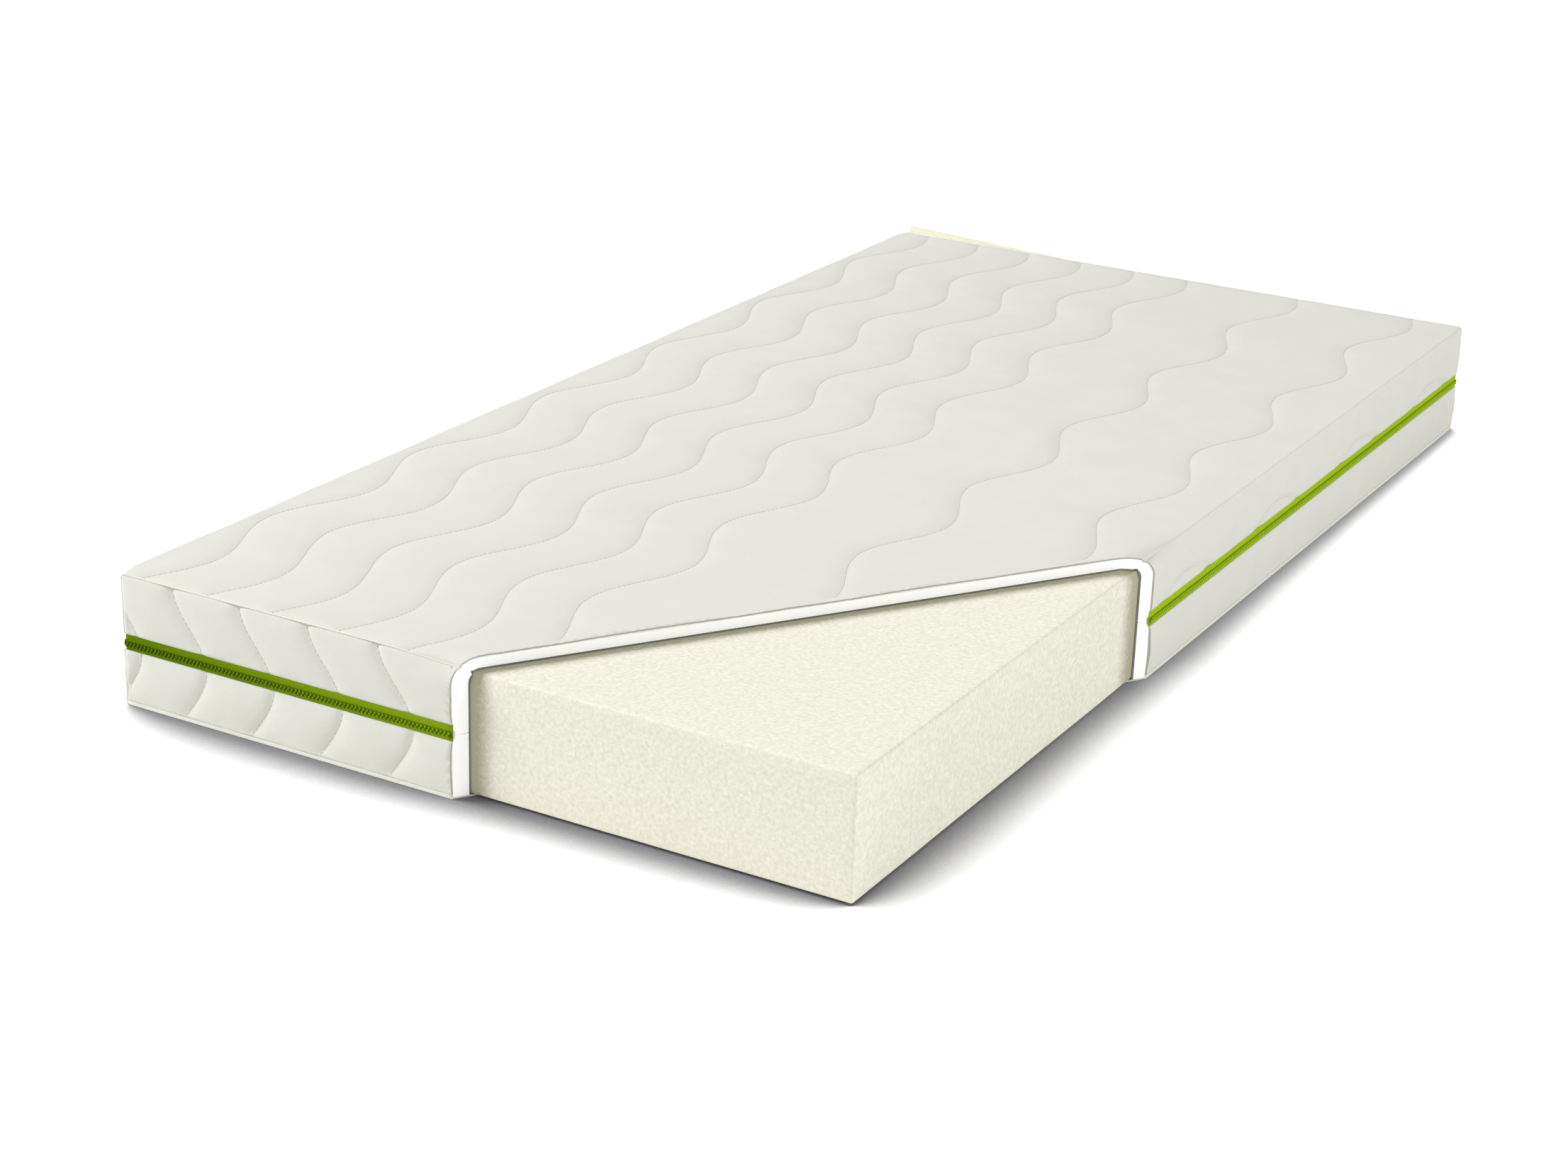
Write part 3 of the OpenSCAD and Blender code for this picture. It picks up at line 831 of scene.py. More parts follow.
@dataclass(frozen=True)
class Quilting:
    """Lines of stitches as waves: mean place + swing * cos(2 pi (t - crest) / wavelength)."""

    means: tuple[float, ...]
    swing: float
    wavelength: float
    crest: float
    depth: float
    narrow: float = 5.5 * MM
    wide: float = 18 * MM

    def lines(self, t: Array) -> Array:
        """The place of each line at each t, as t's shape by the number of lines."""
        return vec(self.swing * np.cos(2 * math.pi * (t - self.crest) / self.wavelength)) + np.array(self.means)

    def distances(self, places: Array, t: Array) -> Array:
        """Distance from each line: the distance across, times the cosine of the line's slope there."""
        slope = self.swing * 2 * math.pi / self.wavelength * np.sin(2 * math.pi * (t - self.crest) / self.wavelength)
        return np.abs(places[..., None] - self.lines(t)) / np.sqrt(1 + slope**2)[..., None]

    def fall(self, places: Array, t: Array) -> Array:
        """The valleys: depth * (0.6 e^(-(distance / narrow)^2) + 0.4 / (1 + (distance / wide)^2)), over the lines."""
        d = self.distances(places, t)
        return -self.depth * (0.6 * np.exp(-((d / self.narrow) ** 2)) + 0.4 / (1 + (d / self.wide) ** 2)).sum(-1)

    def near(self, places: Array, t: Array) -> Array:
        """1 on a line of stitches, falling to 0 within a few millimetres."""
        return np.exp(-((self.distances(places, t).min(-1) / (3.5 * MM)) ** 1.5))

    def columns(self, t: Array, start: float, end: float, step: float) -> Array:
        """Places across from start to end that follow the lines, closer together next to the stitches.

        Each channel between two lines is shared out by t - 0.85 sin(2 pi t) / (2 pi), with t = k / n.

        Args:
            t: Places along, one for each row.
            start: The first column's place.
            end: The last column's place.
            step: Mean distance between columns.

        Returns:
            Rows by columns.
        """
        first, last = np.full((len(t), 1), start), np.full((len(t), 1), end)
        lines = np.concatenate([first, np.clip(self.lines(t), start + MM, end - MM), last], axis=1)
        parts = []
        for left, right in zip(lines.T[:-1], lines.T[1:]):
            even = np.arange(count := max(6, int(round(float((right - left).mean()) / step)))) / count
            share = even - 0.85 * np.sin(2 * math.pi * even) / (2 * math.pi)
            parts.append(left[:, None] + (right - left)[:, None] * share)
        return np.concatenate(parts + [last], axis=1)


# ---- The cover ----


@dataclass(frozen=True)
class Panel:
    """One panel of the cover: its name, what it is, the CAD body that carries it, and whether its grids run inwards."""

    name: str
    kind: str
    body: str
    flip: bool = False


@dataclass
class Cover:
    """The quilted cover: the saddle over the top and sides, both ends, and the walls of the lower half."""

    size: CoverSize
    finishes: Finishes
    side_swing: float = 19 * MM
    side_wave: float = 325 * MM
    side_first: float = 207 * MM
    valley: float = 4.0 * MM
    hem_dip: float = 0.9 * MM
    hem_reach: float = 1.8 * MM
    hem_thin: float = 1.0 * MM
    calm_reach: float = 4 * MM
    crown: float = 1.8 * MM
    air_cap: float = 2.5 * MM
    air_frames: int = 18
    stitch: tuple[float, float, float] = (5.6 * MM, 1.1 * MM, 0.9 * MM)
    stitch_pitch: float = 7 * MM

    def __post_init__(self) -> None:
        """Sets out the quilting: eight waves on top, two left out on the right, and ten upright ones on each end."""
        size, self.skin = self.size, CoverSkin(self.size)
        top = tuple((42 + 96.4 * i) * MM - size.half_w for i in range(10) if i not in (6, 8))
        upright = tuple((2 + 100 * i) * MM - size.half_w for i in range(10))
        self.top_quilting = Quilting(top, 23 * MM, 305 * MM, 15 * MM, 2.5 * MM)
        self.end_quilting = Quilting(upright, 24.5 * MM, 205 * MM, 70 * MM, 4.0 * MM)
        self.side_crest = size.height - 61.5 * MM

    def cut(self, piece: Piece, edge_slot: int = 0) -> None:
        """Cuts the corner off a piece and closes the cut with flat faces.

        Args:
            piece: A closed mesh.
            edge_slot: Material slot of the new faces.
        """
        work = bmesh.new()
        work.from_mesh(piece.data)
        normal = Vector(self.size.cut_normal)
        result = bmesh.ops.bisect_plane(
            work, geom=work.verts[:] + work.edges[:] + work.faces[:], dist=1e-7,
            plane_co=self.size.cut_start, plane_no=normal, clear_outer=True,
        )
        rim = [e for e in result["geom_cut"] if isinstance(e, bmesh.types.BMEdge) and e.is_boundary]
        filled = bmesh.ops.triangle_fill(work, use_beauty=True, edges=rim, normal=normal)["geom"] if rim else ()
        for item in filled:
            if isinstance(item, bmesh.types.BMFace):
                item.material_index, item.smooth = edge_slot, False
                if item.normal.dot(normal) < 0:
                    item.normal_flip()
        work.to_mesh(piece.data)
        work.free()
        piece.data.update()

    def add_layer(
        self, panel: Panel, layer: Layer, outer: Array, inner: Array, u: Array, v: Array, near: Array | None = None
    ) -> None:
        """Makes one layer of a panel, cuts its corner off, and hangs it on its CAD body in place of its CAD node.

        Args:
            panel: The panel.
            layer: Which layer it is.
            outer: Points of its outer face, rows by columns by 3.
            inner: Points of its inner face.
            u: Places on the cloth in the first direction.
            v: Places on the cloth in the second direction.
            near: How near each point is to the stitches, for a face.
        """
        surface, f, name = shell(outer, inner, u, v, panel.flip), self.finishes, layer.name.lower()
        if near is not None:
            surface.attributes["stitched"] = np.tile(near.ravel(), 2)
        finishes = {"face": [f.knit, f.knit_edge], "wadding": [f.fibre] * 2, "lining": [f.lining, f.lining_edge_gap_shade]}[name]
        piece = make_object(f"{panel.name}_{panel.kind}_{name}", surface, finishes)
        self.cut(piece, 1)
        declare(piece, layer.value, panel.body, f"{panel.name}_{name}")

    def add_face(self, panel: Panel, outer: Array, normal: Array, near: Array, free: Array, u: Array, v: Array) -> None:
        """Makes a panel's knitted face, which thins towards its edge at the zip.

        Args:
            panel: The panel.
            outer: Points of its outer face.
            normal: The outward directions there.
            near: How near each point is to the stitches.
            free: Distance from the edge at the zip.
            u: Places on the cloth in the first direction.
            v: Places on the cloth in the second direction.
        """
        thick = self.size.face_t - self.hem_thin * np.exp(-np.maximum(free, 0) / self.hem_reach)
        self.add_layer(panel, Layer.FACE, outer, outer - normal * thick[..., None], u, v, near)

    def add_wadding(self, panel: Panel, form: tuple[Array, Array], lift: Array, u: Array, v: Array) -> None:
        """Makes a panel's wadding, between its face and its lining.

        Args:
            panel: The panel.
            form: C and N of each point.
            lift: How far its outer face is raised.
            u: Places on the cloth in the first direction.
            v: Places on the cloth in the second direction.
        """
        skin, size = self.skin, self.size
        outer = skin.place(form, skin.depths(0, size.face_t + size.gap), lift)
        inner = skin.place(form, skin.depths(1, -size.lining_t) - size.gap, 0)
        self.add_layer(panel, Layer.WADDING, outer, inner, u, v)

    def add_lining(self, panel: Panel, form: tuple[Array, Array], u: Array, v: Array) -> None:
        """Makes a panel's lining, innermost in the quilt."""
        outer, inner = (self.skin.place(form, self.skin.depths(1, skin), 0) for skin in (-self.size.lining_t, 0.0))
        self.add_layer(panel, Layer.LINING, outer, inner, u, v)

    def hem(self, t: Array) -> Array:
        """How far the cloth dips where its edge is turned in at the zip: 0.9 mm * e^(-t / 1.8 mm)."""
        return -self.hem_dip * np.exp(-np.maximum(t, 0) / self.hem_reach)

    def room(self, z: Array) -> Array:
        """How far the wadding keeps back behind the tapes, and further behind the chain for the slider."""
        s = self.size
        behind_tape = np.where((z > s.band_bottom - s.gap) & (z < s.band_top + s.gap), -0.9 * MM, 0.0)
        return np.where(np.abs(z - s.zip_z) < 5.7 * MM, -2.9 * MM, behind_tape)

    def puffed(self, outer: Array, normal: Array, near: Array) -> Array:
        """Lets the cloth solver fill the channels between the stitches with air, and takes the points it ends at.

        The stitches and the borders are pinned. The fabric has 0.3 % of slack, so it puckers a little beside them.

        Args:
            outer: Grid of the face's outer points.
            normal: The outward directions there.
            near: How near each point is to the stitches.

        Returns:
            The grid, with each point moved by d * cap / (cap + |d|), where d is the solver's own shift less nine tenths
            of its inward part, because the wadding is in the way.
        """
        scene, cap, frames = bpy.context.scene, self.air_cap, self.air_frames
        quads, _ = grid_quads(*near.shape, False, False)
        points = outer.reshape(-1, 3)
        mesh = bpy.data.meshes.new("quilt_in_solver")
        mesh.from_pydata(points.tolist(), [], quads.tolist())
        trial = bpy.data.objects.new("quilt_in_solver", mesh)
        scene.collection.objects.link(trial)
        pinned = near > 0.75
        pinned[[0, -1], :] = pinned[:, [0, 1, -2, -1]] = True
        group = trial.vertex_groups.new(name="stitched")
        group.add(np.flatnonzero(pinned.ravel()).tolist(), 1.0, "REPLACE")
        solver = trial.modifiers.new("air", "CLOTH")
        cloth = solver.settings
        cloth.vertex_group_mass = group.name
        cloth.quality, cloth.mass, cloth.air_damping = 5, 0.004, 4.0
        cloth.tension_stiffness = cloth.compression_stiffness = 12.0
        cloth.bending_stiffness, cloth.shrink_min = 0.02, -0.003
        cloth.use_pressure, cloth.uniform_pressure_force = True, 6.0
        cloth.effector_weights.gravity = 0.0
        solver.collision_settings.use_collision = False
        solver.point_cache.frame_start, solver.point_cache.frame_end = 1, frames
        for step in range(1, frames + 1):
            scene.frame_set(step)
        solved = trial.evaluated_get(bpy.context.evaluated_depsgraph_get())
        ended = np.empty(points.size, np.float32)
        solved.data.vertices.foreach_get("co", ended)
        bpy.data.objects.remove(trial)
        scene.frame_set(1)
        shift, out = ended.reshape(points.shape) - points, normal.reshape(-1, 3)
        shift -= 0.9 * np.minimum((shift * out).sum(1, keepdims=True), 0) * out
        size = np.linalg.norm(shift, axis=1, keepdims=True)
        log.info("solver moved the cloth by %.2f mm at most", size.max() / MM)
        return (points + shift * cap / (cap + size)).reshape(outer.shape)

    # -- the saddle --

    def side_arc(self, y: Array) -> Array:
        """Height of the wave of stitches along each long side."""
        return self.side_crest - self.side_swing * (1 - np.cos(2 * math.pi * (y - self.side_first) / self.side_wave))

    def side_valley(self, z: Array, y: Array) -> tuple[Array, Array]:
        """The valley of the wave along each long side.

        Args:
            z: Height of each place.
            y: Place along.

        Returns:
            The valley, 4 mm * e^(-(distance / 5 mm)^2) with the distance measured square to the wave, and how near each
            place is to its stitches.
        """
        turn = 2 * math.pi * (y - self.side_first) / self.side_wave
        slope = self.side_swing * 2 * math.pi / self.side_wave * np.sin(turn)
        d = np.abs(z - self.side_arc(y)) / np.sqrt(1 + slope**2)
        shown = (np.abs(y) < self.skin.straight).astype(float)
        return -self.valley * np.exp(-((d / (5 * MM)) ** 2)) * shown, np.exp(-((d / (3.5 * MM)) ** 2)) * shown

    def saddle_grid(self, fine: bool) -> tuple[Array, Array]:
        """Places across and along the saddle.

        Args:
            fine: Whether it is the face's grid, which ends at the zip tape's edge. The wadding goes on to the chain.

        Returns:
            u and v, rows by columns.
        """
        skin, size = self.skin, self.size
        v = skin.along((10.5 if fine else 14) * MM)
        middle = self.top_quilting.columns(v, -skin.flat, skin.flat, (5.4 if fine else 8) * MM)
        hem_z = size.band_top if fine else size.zip_z + size.split / 2
        wall = skin.side_u(spread(skin.shoulder, hem_z, (2.5 if fine else 3) * MM))
        turns = np.array([0.2, 0.4, 0.45, 0.5, 0.55, 0.6, 0.8, 1.0] if fine else [0.25, 0.5, 0.75, 1.0])
        right = np.concatenate([skin.flat + skin.quarter * turns, wall[1:]]) * np.ones((len(v), 1))
        u = np.concatenate([-right[:, ::-1], middle, right], axis=1)
        return u, v[:, None] * np.ones(u.shape[1])

    def crease(self, bend: Array) -> Array:
        """How far the cloth's fold stands out of the round edge of radius r.

        The fold has a radius f of 2 mm, about a point m = r - f along both axes from the edge's own centre. At the
        angle a from the nearer face the cloth is r / cos(a) from that centre on the straight, and
        m (sin a + cos a) + sqrt(f^2 - m^2 (cos a - sin a)^2) from it in the fold.

        Args:
            bend: Share of the way round the edge.

        Returns:
            The fold's rise.
        """
        r, own = self.size.edge_r, 2 * MM
        m, angle = r - own, np.minimum(bend, 1 - bend) * math.pi / 2
        sine, cosine = np.sin(angle), np.cos(angle)
        fold = m * (sine + cosine) + np.sqrt(np.maximum(own**2 - (m * (cosine - sine)) ** 2, 0))
        return np.where(r * sine <= m * cosine, r / cosine, fold) - r

    def saddle_relief(self, u: Array, v: Array) -> tuple[Array, Array]:
        """Rise and fall of the saddle.

        Args:
            u: Places across.
            v: Places along.

        Returns:
            The rise, and how near each place is to a line of stitches.
        """
        skin, size = self.skin, self.size
        near = self.top_quilting.near(u, v) * (np.abs(u) < skin.flat + size.edge_r)
        z = skin.side_u(np.abs(u))
        arcs, arc_near = self.side_valley(z, v)
        on_side = np.abs(u) > skin.flat + skin.quarter
        full = np.clip((z - size.band_top) / (skin.shoulder - size.band_top), 0, 1)
        arcs = arcs * (1 - 0.7 * np.exp(-np.maximum(z - size.band_top, 0) / self.calm_reach))
        side = np.where(on_side, arcs + 0.8 * MM * np.sin(math.pi * full), 0.0)
        calm = 0.5 * MM * unevenness(u, v, 170 * MM, 4) + 0.35 * MM * unevenness(u, v, 60 * MM, 9)
        bend = np.clip((np.abs(u) - skin.flat) / skin.quarter, 0, 1)
        fold = self.crease(bend) * np.clip((skin.straight - np.abs(v)) / (20 * MM), 0, 1)
        held = skin.held(skin.over(u, v)[0])
        lift = (self.top_quilting.fall(u, v) + calm + side + fold) * held
        return lift + np.where(on_side, self.hem(z - size.band_top), 0.0), np.where(on_side, arc_near, near) * held

    def make_saddle(self) -> None:
        """Makes face, wadding and lining over the top and down the long sides, above the zip."""
        skin, size, panel = self.skin, self.size, Panel("top", "quilt", "upper_cover")
        u, v = self.saddle_grid(True)
        form = skin.over(u, v)
        lift, near = self.saddle_relief(u, v)
        outer = skin.place(form, skin.depths(0), lift)
        eased = np.clip((skin.flat - np.abs(u)) / (70 * MM), 0, 1)[..., None]
        outer = outer + (self.puffed(outer, form[1], near) - outer) * eased
        self.add_face(panel, outer, form[1], near, skin.side_u(np.abs(u)) - size.band_top, u, v)

        u, v = self.saddle_grid(False)
        z = skin.side_u(np.abs(u))
        limit = np.where(z < size.band_top + 3 * MM, self.room(z), 0.3 * MM)
        self.add_wadding(panel, skin.over(u, v), np.minimum(self.saddle_relief(u, v)[0], limit), u, v)

        wall = skin.side_u(spread(skin.shoulder, size.zip_z + size.split / 2, 20 * MM))[1:]
        right = np.concatenate([spread(skin.flat, skin.flat + skin.quarter, 4 * MM), wall])
        seam = spread(skin.straight, skin.straight + skin.quarter / 2, 4 * MM)
        u = np.concatenate([-right[::-1], spread(-skin.flat, skin.flat, 40 * MM)[1:-1], right])
        v = np.concatenate([-seam[::-1], spread(-skin.straight, skin.straight, 40 * MM)[1:-1], seam])
        v, u = np.meshgrid(v, u, indexing="ij")
        self.add_lining(panel, skin.over(u, v), u, v)

    # -- the ends --

    def end_grid(self, z0: float, z1: float, with_top: bool, step: float) -> tuple[Array, Array]:
        """Places across and up one end, and round into its seams.

        Args:
            z0: Height of the first row.
            z1: Height of the last row before the top edge.
            with_top: Whether rows follow into the top edge's seam.
            step: Mean distance between rows.

        Returns:
            x and z, rows by columns.
        """
        skin = self.skin
        bend = spread(0, skin.quarter / 2, skin.turn_step)[1:]
        z = np.concatenate([spread(z0, z1, step), skin.shoulder + bend[: len(bend) * with_top]])
        seam = (skin.flat + bend) * np.ones((len(z), 1))
        middle = self.end_quilting.columns(z, -skin.flat, skin.flat, 5.6 * MM)
        x = np.concatenate([-seam[:, ::-1], middle, seam], axis=1)
        return x, z[:, None] * np.ones(x.shape[1])

    def end_relief(self, x: Array, z: Array, upper: bool, way: int) -> tuple[Array, Array]:
        """Rise and fall of an end above or below the zip.

        Args:
            x: Places across.
            z: Places up.
            upper: Whether it is the half above the zip.
            way: -1 for the foot, 1 for the head.

        Returns:
            The rise, and how near each place is to its stitches.
        """
        skin, size = self.skin, self.size
        low = size.band_top if upper else size.binding_h + size.gap
        high = skin.shoulder + skin.quarter / 2 if upper else size.band_bottom
        free = np.maximum(z - low if upper else high - z, 0)
        crown = self.crown * np.sin(math.pi * np.clip((z - low) / (high - low), 0, 1))
        calm = 0.5 * MM * unevenness(x, z + (0.3 if upper else 0), 90 * MM, 5)
        border = np.clip((skin.flat + skin.quarter / 2 - np.abs(x)) / (8 * MM), 0, 1)
        fade = border * skin.held(vec(x, way * size.half_l, z))
        bound = 0 if upper else 0.9 * np.exp(-np.maximum(z - low, 0) / self.calm_reach)
        hemmed = 0.7 * np.exp(-free / self.calm_reach) + bound
        fall = self.end_quilting.fall(x, z) * (1 - hemmed)
        return (fall + crown + calm) * fade + self.hem(free), self.end_quilting.near(x, z) * fade

    def make_end(self, end: str, way: int, upper: bool) -> None:
        """Makes face, wadding and lining of one end, above or below the zip.

        Args:
            end: "foot" or "head".
            way: -1 for the foot, 1 for the head.
            upper: Whether it is the half above the zip.
        """
        skin, size, half = self.skin, self.size, "upper" if upper else "lower"
        panel = Panel(f"{end}_{half}", "quilt", half + "_cover", way == 1)
        z0, z1 = (size.band_top, skin.shoulder) if upper else (size.binding_h + size.gap, size.band_bottom)
        x, z = self.end_grid(z0, z1, upper, 2.6 * MM)
        form, mirror = skin.end(x, z, way), np.array([1, -way, 1])
        lift, near = self.end_relief(x, z, upper, way)
        outer = self.puffed(skin.place(form, skin.depths(0), lift) * mirror, form[1] * mirror, near) * mirror
        self.add_face(panel, outer, form[1], near, np.abs(z - (z0 if upper else z1)), x, z)

        split = size.split / 2
        z0, z1 = (size.zip_z + split, skin.shoulder) if upper else (size.base_t + size.gap, size.zip_z - split)
        x, z = self.end_grid(z0, z1, upper, 3 * MM)
        by_zip = z < size.band_top + 3 * MM if upper else z > size.band_bottom - 3 * MM
        lift = np.minimum(self.end_relief(x, z, upper, way)[0], np.where(by_zip, self.room(z), 0.3 * MM))
        form = skin.end(x, z, way)
        self.add_wadding(panel, form, lift, x, z)
        self.add_lining(panel, form, x, z)

    # -- the lower sides --

    def make_lower_side(self, side: str, sign: int) -> None:
        """Makes face, wadding and lining of one long side below the zip, which has no quilting.

        Args:
            side: "left" or "right".
            sign: -1 for the left, 1 for the right.
        """
        skin, size = self.skin, self.size
        panel = Panel(side + "_lower", "side", "lower_cover", sign < 0)
        z0, z1 = size.binding_h + size.gap, size.band_bottom
        v, z = np.meshgrid(skin.along(10 * MM), spread(z1, z0, 3 * MM), indexing="ij")
        slack = 0.7 * MM * unevenness(v, z, 140 * MM, 3) + 0.5 * MM * unevenness(v, 3 * z, 50 * MM, 12)
        lift = (self.crown + slack) * np.sin(math.pi * (z - z0) / (z1 - z0)) + self.hem(z1 - z)
        form = skin.over(sign * skin.side_u(z), v)
        self.add_face(panel, skin.place(form, skin.depths(0), lift), form[1], np.zeros(z.shape), z1 - z, v, z)

        zip_edge = spread(size.zip_z - size.split / 2, size.base_t + size.gap, 3 * MM)
        v, z = np.meshgrid(skin.along(10 * MM), zip_edge, indexing="ij")
        form = skin.over(sign * skin.side_u(z), v)
        self.add_wadding(panel, form, self.room(z), v, z)
        self.add_lining(panel, form, v, z)

    # -- stitches --

    def stitched(self, name: str, runs: list[tuple[Array, Array]], body: str, node: str) -> None:
        """Lockstitches along lines: blunt grains of thread, one for each stitch, with the needle hole between.

        The real stitch is 4 mm long. It is drawn at 5.6 mm, in a pitch of 7 mm, so that single ones show.

        Args:
            name: The piece's name.
            runs: Each line's points and normals.
            body: The CAD body that carries it.
            node: The CAD node that it stands for.
        """
        thread, parts = grain(*self.stitch), []
        for points, normals in runs:
            centres, axes = along_line(points, normals, self.stitch_pitch)
            keep = self.size.beyond_cut(centres) < -4 * MM
            if keep.any():
                parts.append(strewn(thread, centres[keep], axes[keep]))
        declare(make_object(name, Surface.joined(parts), [self.finishes.thread]), "quilting_thread", body, node)

    def on_face(self, form: tuple[Array, Array], lift: Array) -> tuple[Array, Array]:
        """Points just above the cover's face, and the normals there."""
        return self.skin.place(form, self.skin.depths(0), lift + 0.2 * MM), form[1]

    def make_stitches(self) -> None:
        """Makes the quilting threads of the saddle and of both ends."""
        skin, size, runs = self.skin, self.size, []
        v = spread(-skin.straight - 9 * MM, skin.straight + 9 * MM, 2 * MM)
        for line in self.top_quilting.lines(v).T:
            runs.append(self.on_face(skin.over(line, v), self.saddle_relief(line, v)[0]))
        for sign in (-1, 1):
            for k in range(-4, 3):
                y = self.side_first + k * self.side_wave + spread(-58 * MM, 58 * MM, 2 * MM)
                y = y[self.side_arc(y) > size.band_top + 2 * MM]
                u = sign * skin.side_u(self.side_arc(y))
                if np.abs(y).max() < skin.straight:
                    runs.append(self.on_face(skin.over(u, y), self.saddle_relief(u, y)[0]))
        self.stitched("top_quilting_thread", runs, "upper_cover", "top_thread")
        halves = (("upper", size.band_top + 2 * MM, skin.shoulder + 9 * MM),
                  ("lower", size.binding_h + 2 * MM, size.band_bottom - 2 * MM))
        for end, way in (("foot", -1), ("head", 1)):
            for half, z0, z1 in halves:
                z, runs = spread(z0, z1, 2 * MM), []
                for line in self.end_quilting.lines(z).T:
                    on = np.abs(line) < skin.flat
                    if on.sum() > 4:
                        lift, _ = self.end_relief(line[on], z[on], half == "upper", way)
                        runs.append(self.on_face(skin.end(line[on], z[on], way), lift))
                self.stitched(f"{end}_{half}_quilting_thread", runs, half + "_cover", f"{end}_{half}_thread")

    def build(self) -> None:
        """Makes every piece of the quilted cover."""
        self.make_saddle()
        for end, way in (("foot", -1), ("head", 1)):
            for upper in (True, False):
                self.make_end(end, way, upper)
        for side, sign in (("left", -1), ("right", 1)):
            self.make_lower_side(side, sign)
        self.make_stitches()


# ---- Seams, binding and underside ----


@dataclass
class Trim:
    """The corded seams of the ends and corners, the binding round the bottom edge and the fabric underneath."""

    cover: Cover
    finishes: Finishes
    cord_r: float = 1.15 * MM
    twist: float = 7 * MM
    step: float = 1.8 * MM
    lean: float = math.sqrt(0.5)

    def __post_init__(self) -> None:
        """Takes the cover's form, which every trim follows."""
        self.skin, self.size = self.cover.skin, self.cover.size

    def add(self, name: str, surface: Surface, finish: Material, body: str, node: str) -> None:
        """Makes one piece of trim, less the corner that is cut away, and hangs it on its CAD body in place of its CAD
        node.

        Args:
            name: The piece's name.
            surface: Its form.
            finish: Its material.
            body: The CAD body that carries it.
            node: The CAD node that it stands for.
        """
        piece = make_object(name, surface, [finish])
        self.cover.cut(piece)
        declare(piece, "seam_trim", body, node)

    def cord(self, centre: Array, normal: Array) -> Surface:
        """Twisted cord on a line of the skin: radius * (1 + 0.16 cos(2 turn - 2 pi length / twist)) round each point.

        Args:
            centre: C of each point.
            normal: N of each point.

        Returns:
            The closed cord.
        """
        points = self.skin.place((centre, normal), self.skin.depths(0), 0)
        run, tangent, turn = run_length(points), unit(np.gradient(points, axis=0)), turns(8)
        out = unit(normal - (normal * tangent).sum(-1, keepdims=True) * tangent)
        swell = self.cord_r * (1 + 0.16 * np.cos(2 * turn - run[:, None] * 2 * math.pi / self.twist))
        return carried(points, out, np.cross(tangent, out), vec(swell * np.cos(turn), swell * np.sin(turn)), run, False)

    def end_seam(self, way: int) -> Surface:
        """Cord up one corner of an end from the zip, along its top edge and down the other corner.

        Args:
            way: -1 for the foot, 1 for the head.

        Returns:
            The closed cord.
        """
        skin = self.skin
        rise = spread(self.size.band_top + 0.3 * MM, skin.shoulder, self.step)
        top, bend = spread(-skin.flat, skin.flat, self.step), spread(0, math.pi / 2, 0.12)
        x = np.pad(top, len(rise) + len(bend) - 2, "edge")
        z = np.concatenate([rise, np.full(len(x) - 2 * len(rise), skin.shoulder), rise[::-1]])
        over = np.concatenate([bend[1:-1], np.full(len(top), math.pi / 2), math.pi - bend[-2:0:-1]])
        angle, mirror = np.pad(over, len(rise), constant_values=(0, math.pi)), np.array([1, -way, 1])
        normal = vec(-self.lean * np.cos(angle), -self.lean, self.lean * np.sin(angle))
        return self.cord(vec(x, -skin.straight, z) * mirror, normal * mirror)

    def make_seams(self) -> None:
        """Both end seams and the upright cords of the lower half."""
        size, skin = self.size, self.skin
        for end, way in (("foot", -1), ("head", 1)):
            seam = self.end_seam(way)
            self.add(end + "_corded_seam", seam, self.finishes.trim, "upper_cover", end + "_end_seam")
        z, parts = spread(size.binding_h, size.band_bottom - 0.3 * MM, self.step), []
        for x, y in ((-1, -1), (-1, 1), (1, 1)):
            centre = vec(x * skin.flat, y * skin.straight, z)
            parts.append(self.cord(centre, np.broadcast_to(np.array([x, y, 0]) * self.lean, centre.shape)))
        cords = Surface.joined(parts)
        self.add("lower_corner_cords", cords, self.finishes.trim, "lower_cover", "lower_corner_seams")

    def make_flange(self) -> None:
        """Overlocked seam allowance that stands up at the head end, and tapers off from the left corner.

        Its height is 2 mm + 13 mm * (1 - s)^1.2, with s the share of its length. Loops of yarn lie over its edge.
        """
        skin, turn, lean = self.skin, turns(12), self.lean
        x = spread(-skin.flat, -0.2, 4 * MM)
        height = (2 + 13 * (1 - (x - x[0]) / (x[-1] - x[0])) ** 1.2) * MM
        out, side = (np.broadcast_to([0.0, lean, slope], (len(x), 3)) for slope in (lean, -lean))
        centre = skin.place((vec(x, skin.straight, skin.shoulder), out), skin.depths(0), 0)
        profile = vec((1 + np.cos(turn)) / 2, np.sin(turn)) * vec(height, 0.9 * MM)[:, None]
        parts = [carried(centre, out, side, profile, x - x[0], False)]
        loop, at = grain(2.6 * MM, 1.5 * MM, 1.2 * MM), np.arange(x[0] + 2 * MM, x[-1], 4.5 * MM)
        foot = centre[0] * [0, 1, 1] + at[:, None] * [1, 0, 0]
        slant = unit(np.array([0.5, 0, 0]) + 0.85 * out[0])
        for row in (0.3, 0.62, 0.94):
            for face in (-side[0], side[0]):
                middle = foot + np.interp(at, x, height)[:, None] * row * out[0] + 0.7 * MM * face
                axes = np.stack([slant, np.cross(face, slant), face])
                parts.append(strewn(loop, middle, np.broadcast_to(axes, (len(at), 3, 3))))
        strip = Surface.joined(parts)
        self.add("head_overlock_edge", strip, self.finishes.overlock, "upper_cover", "head_end_seam")

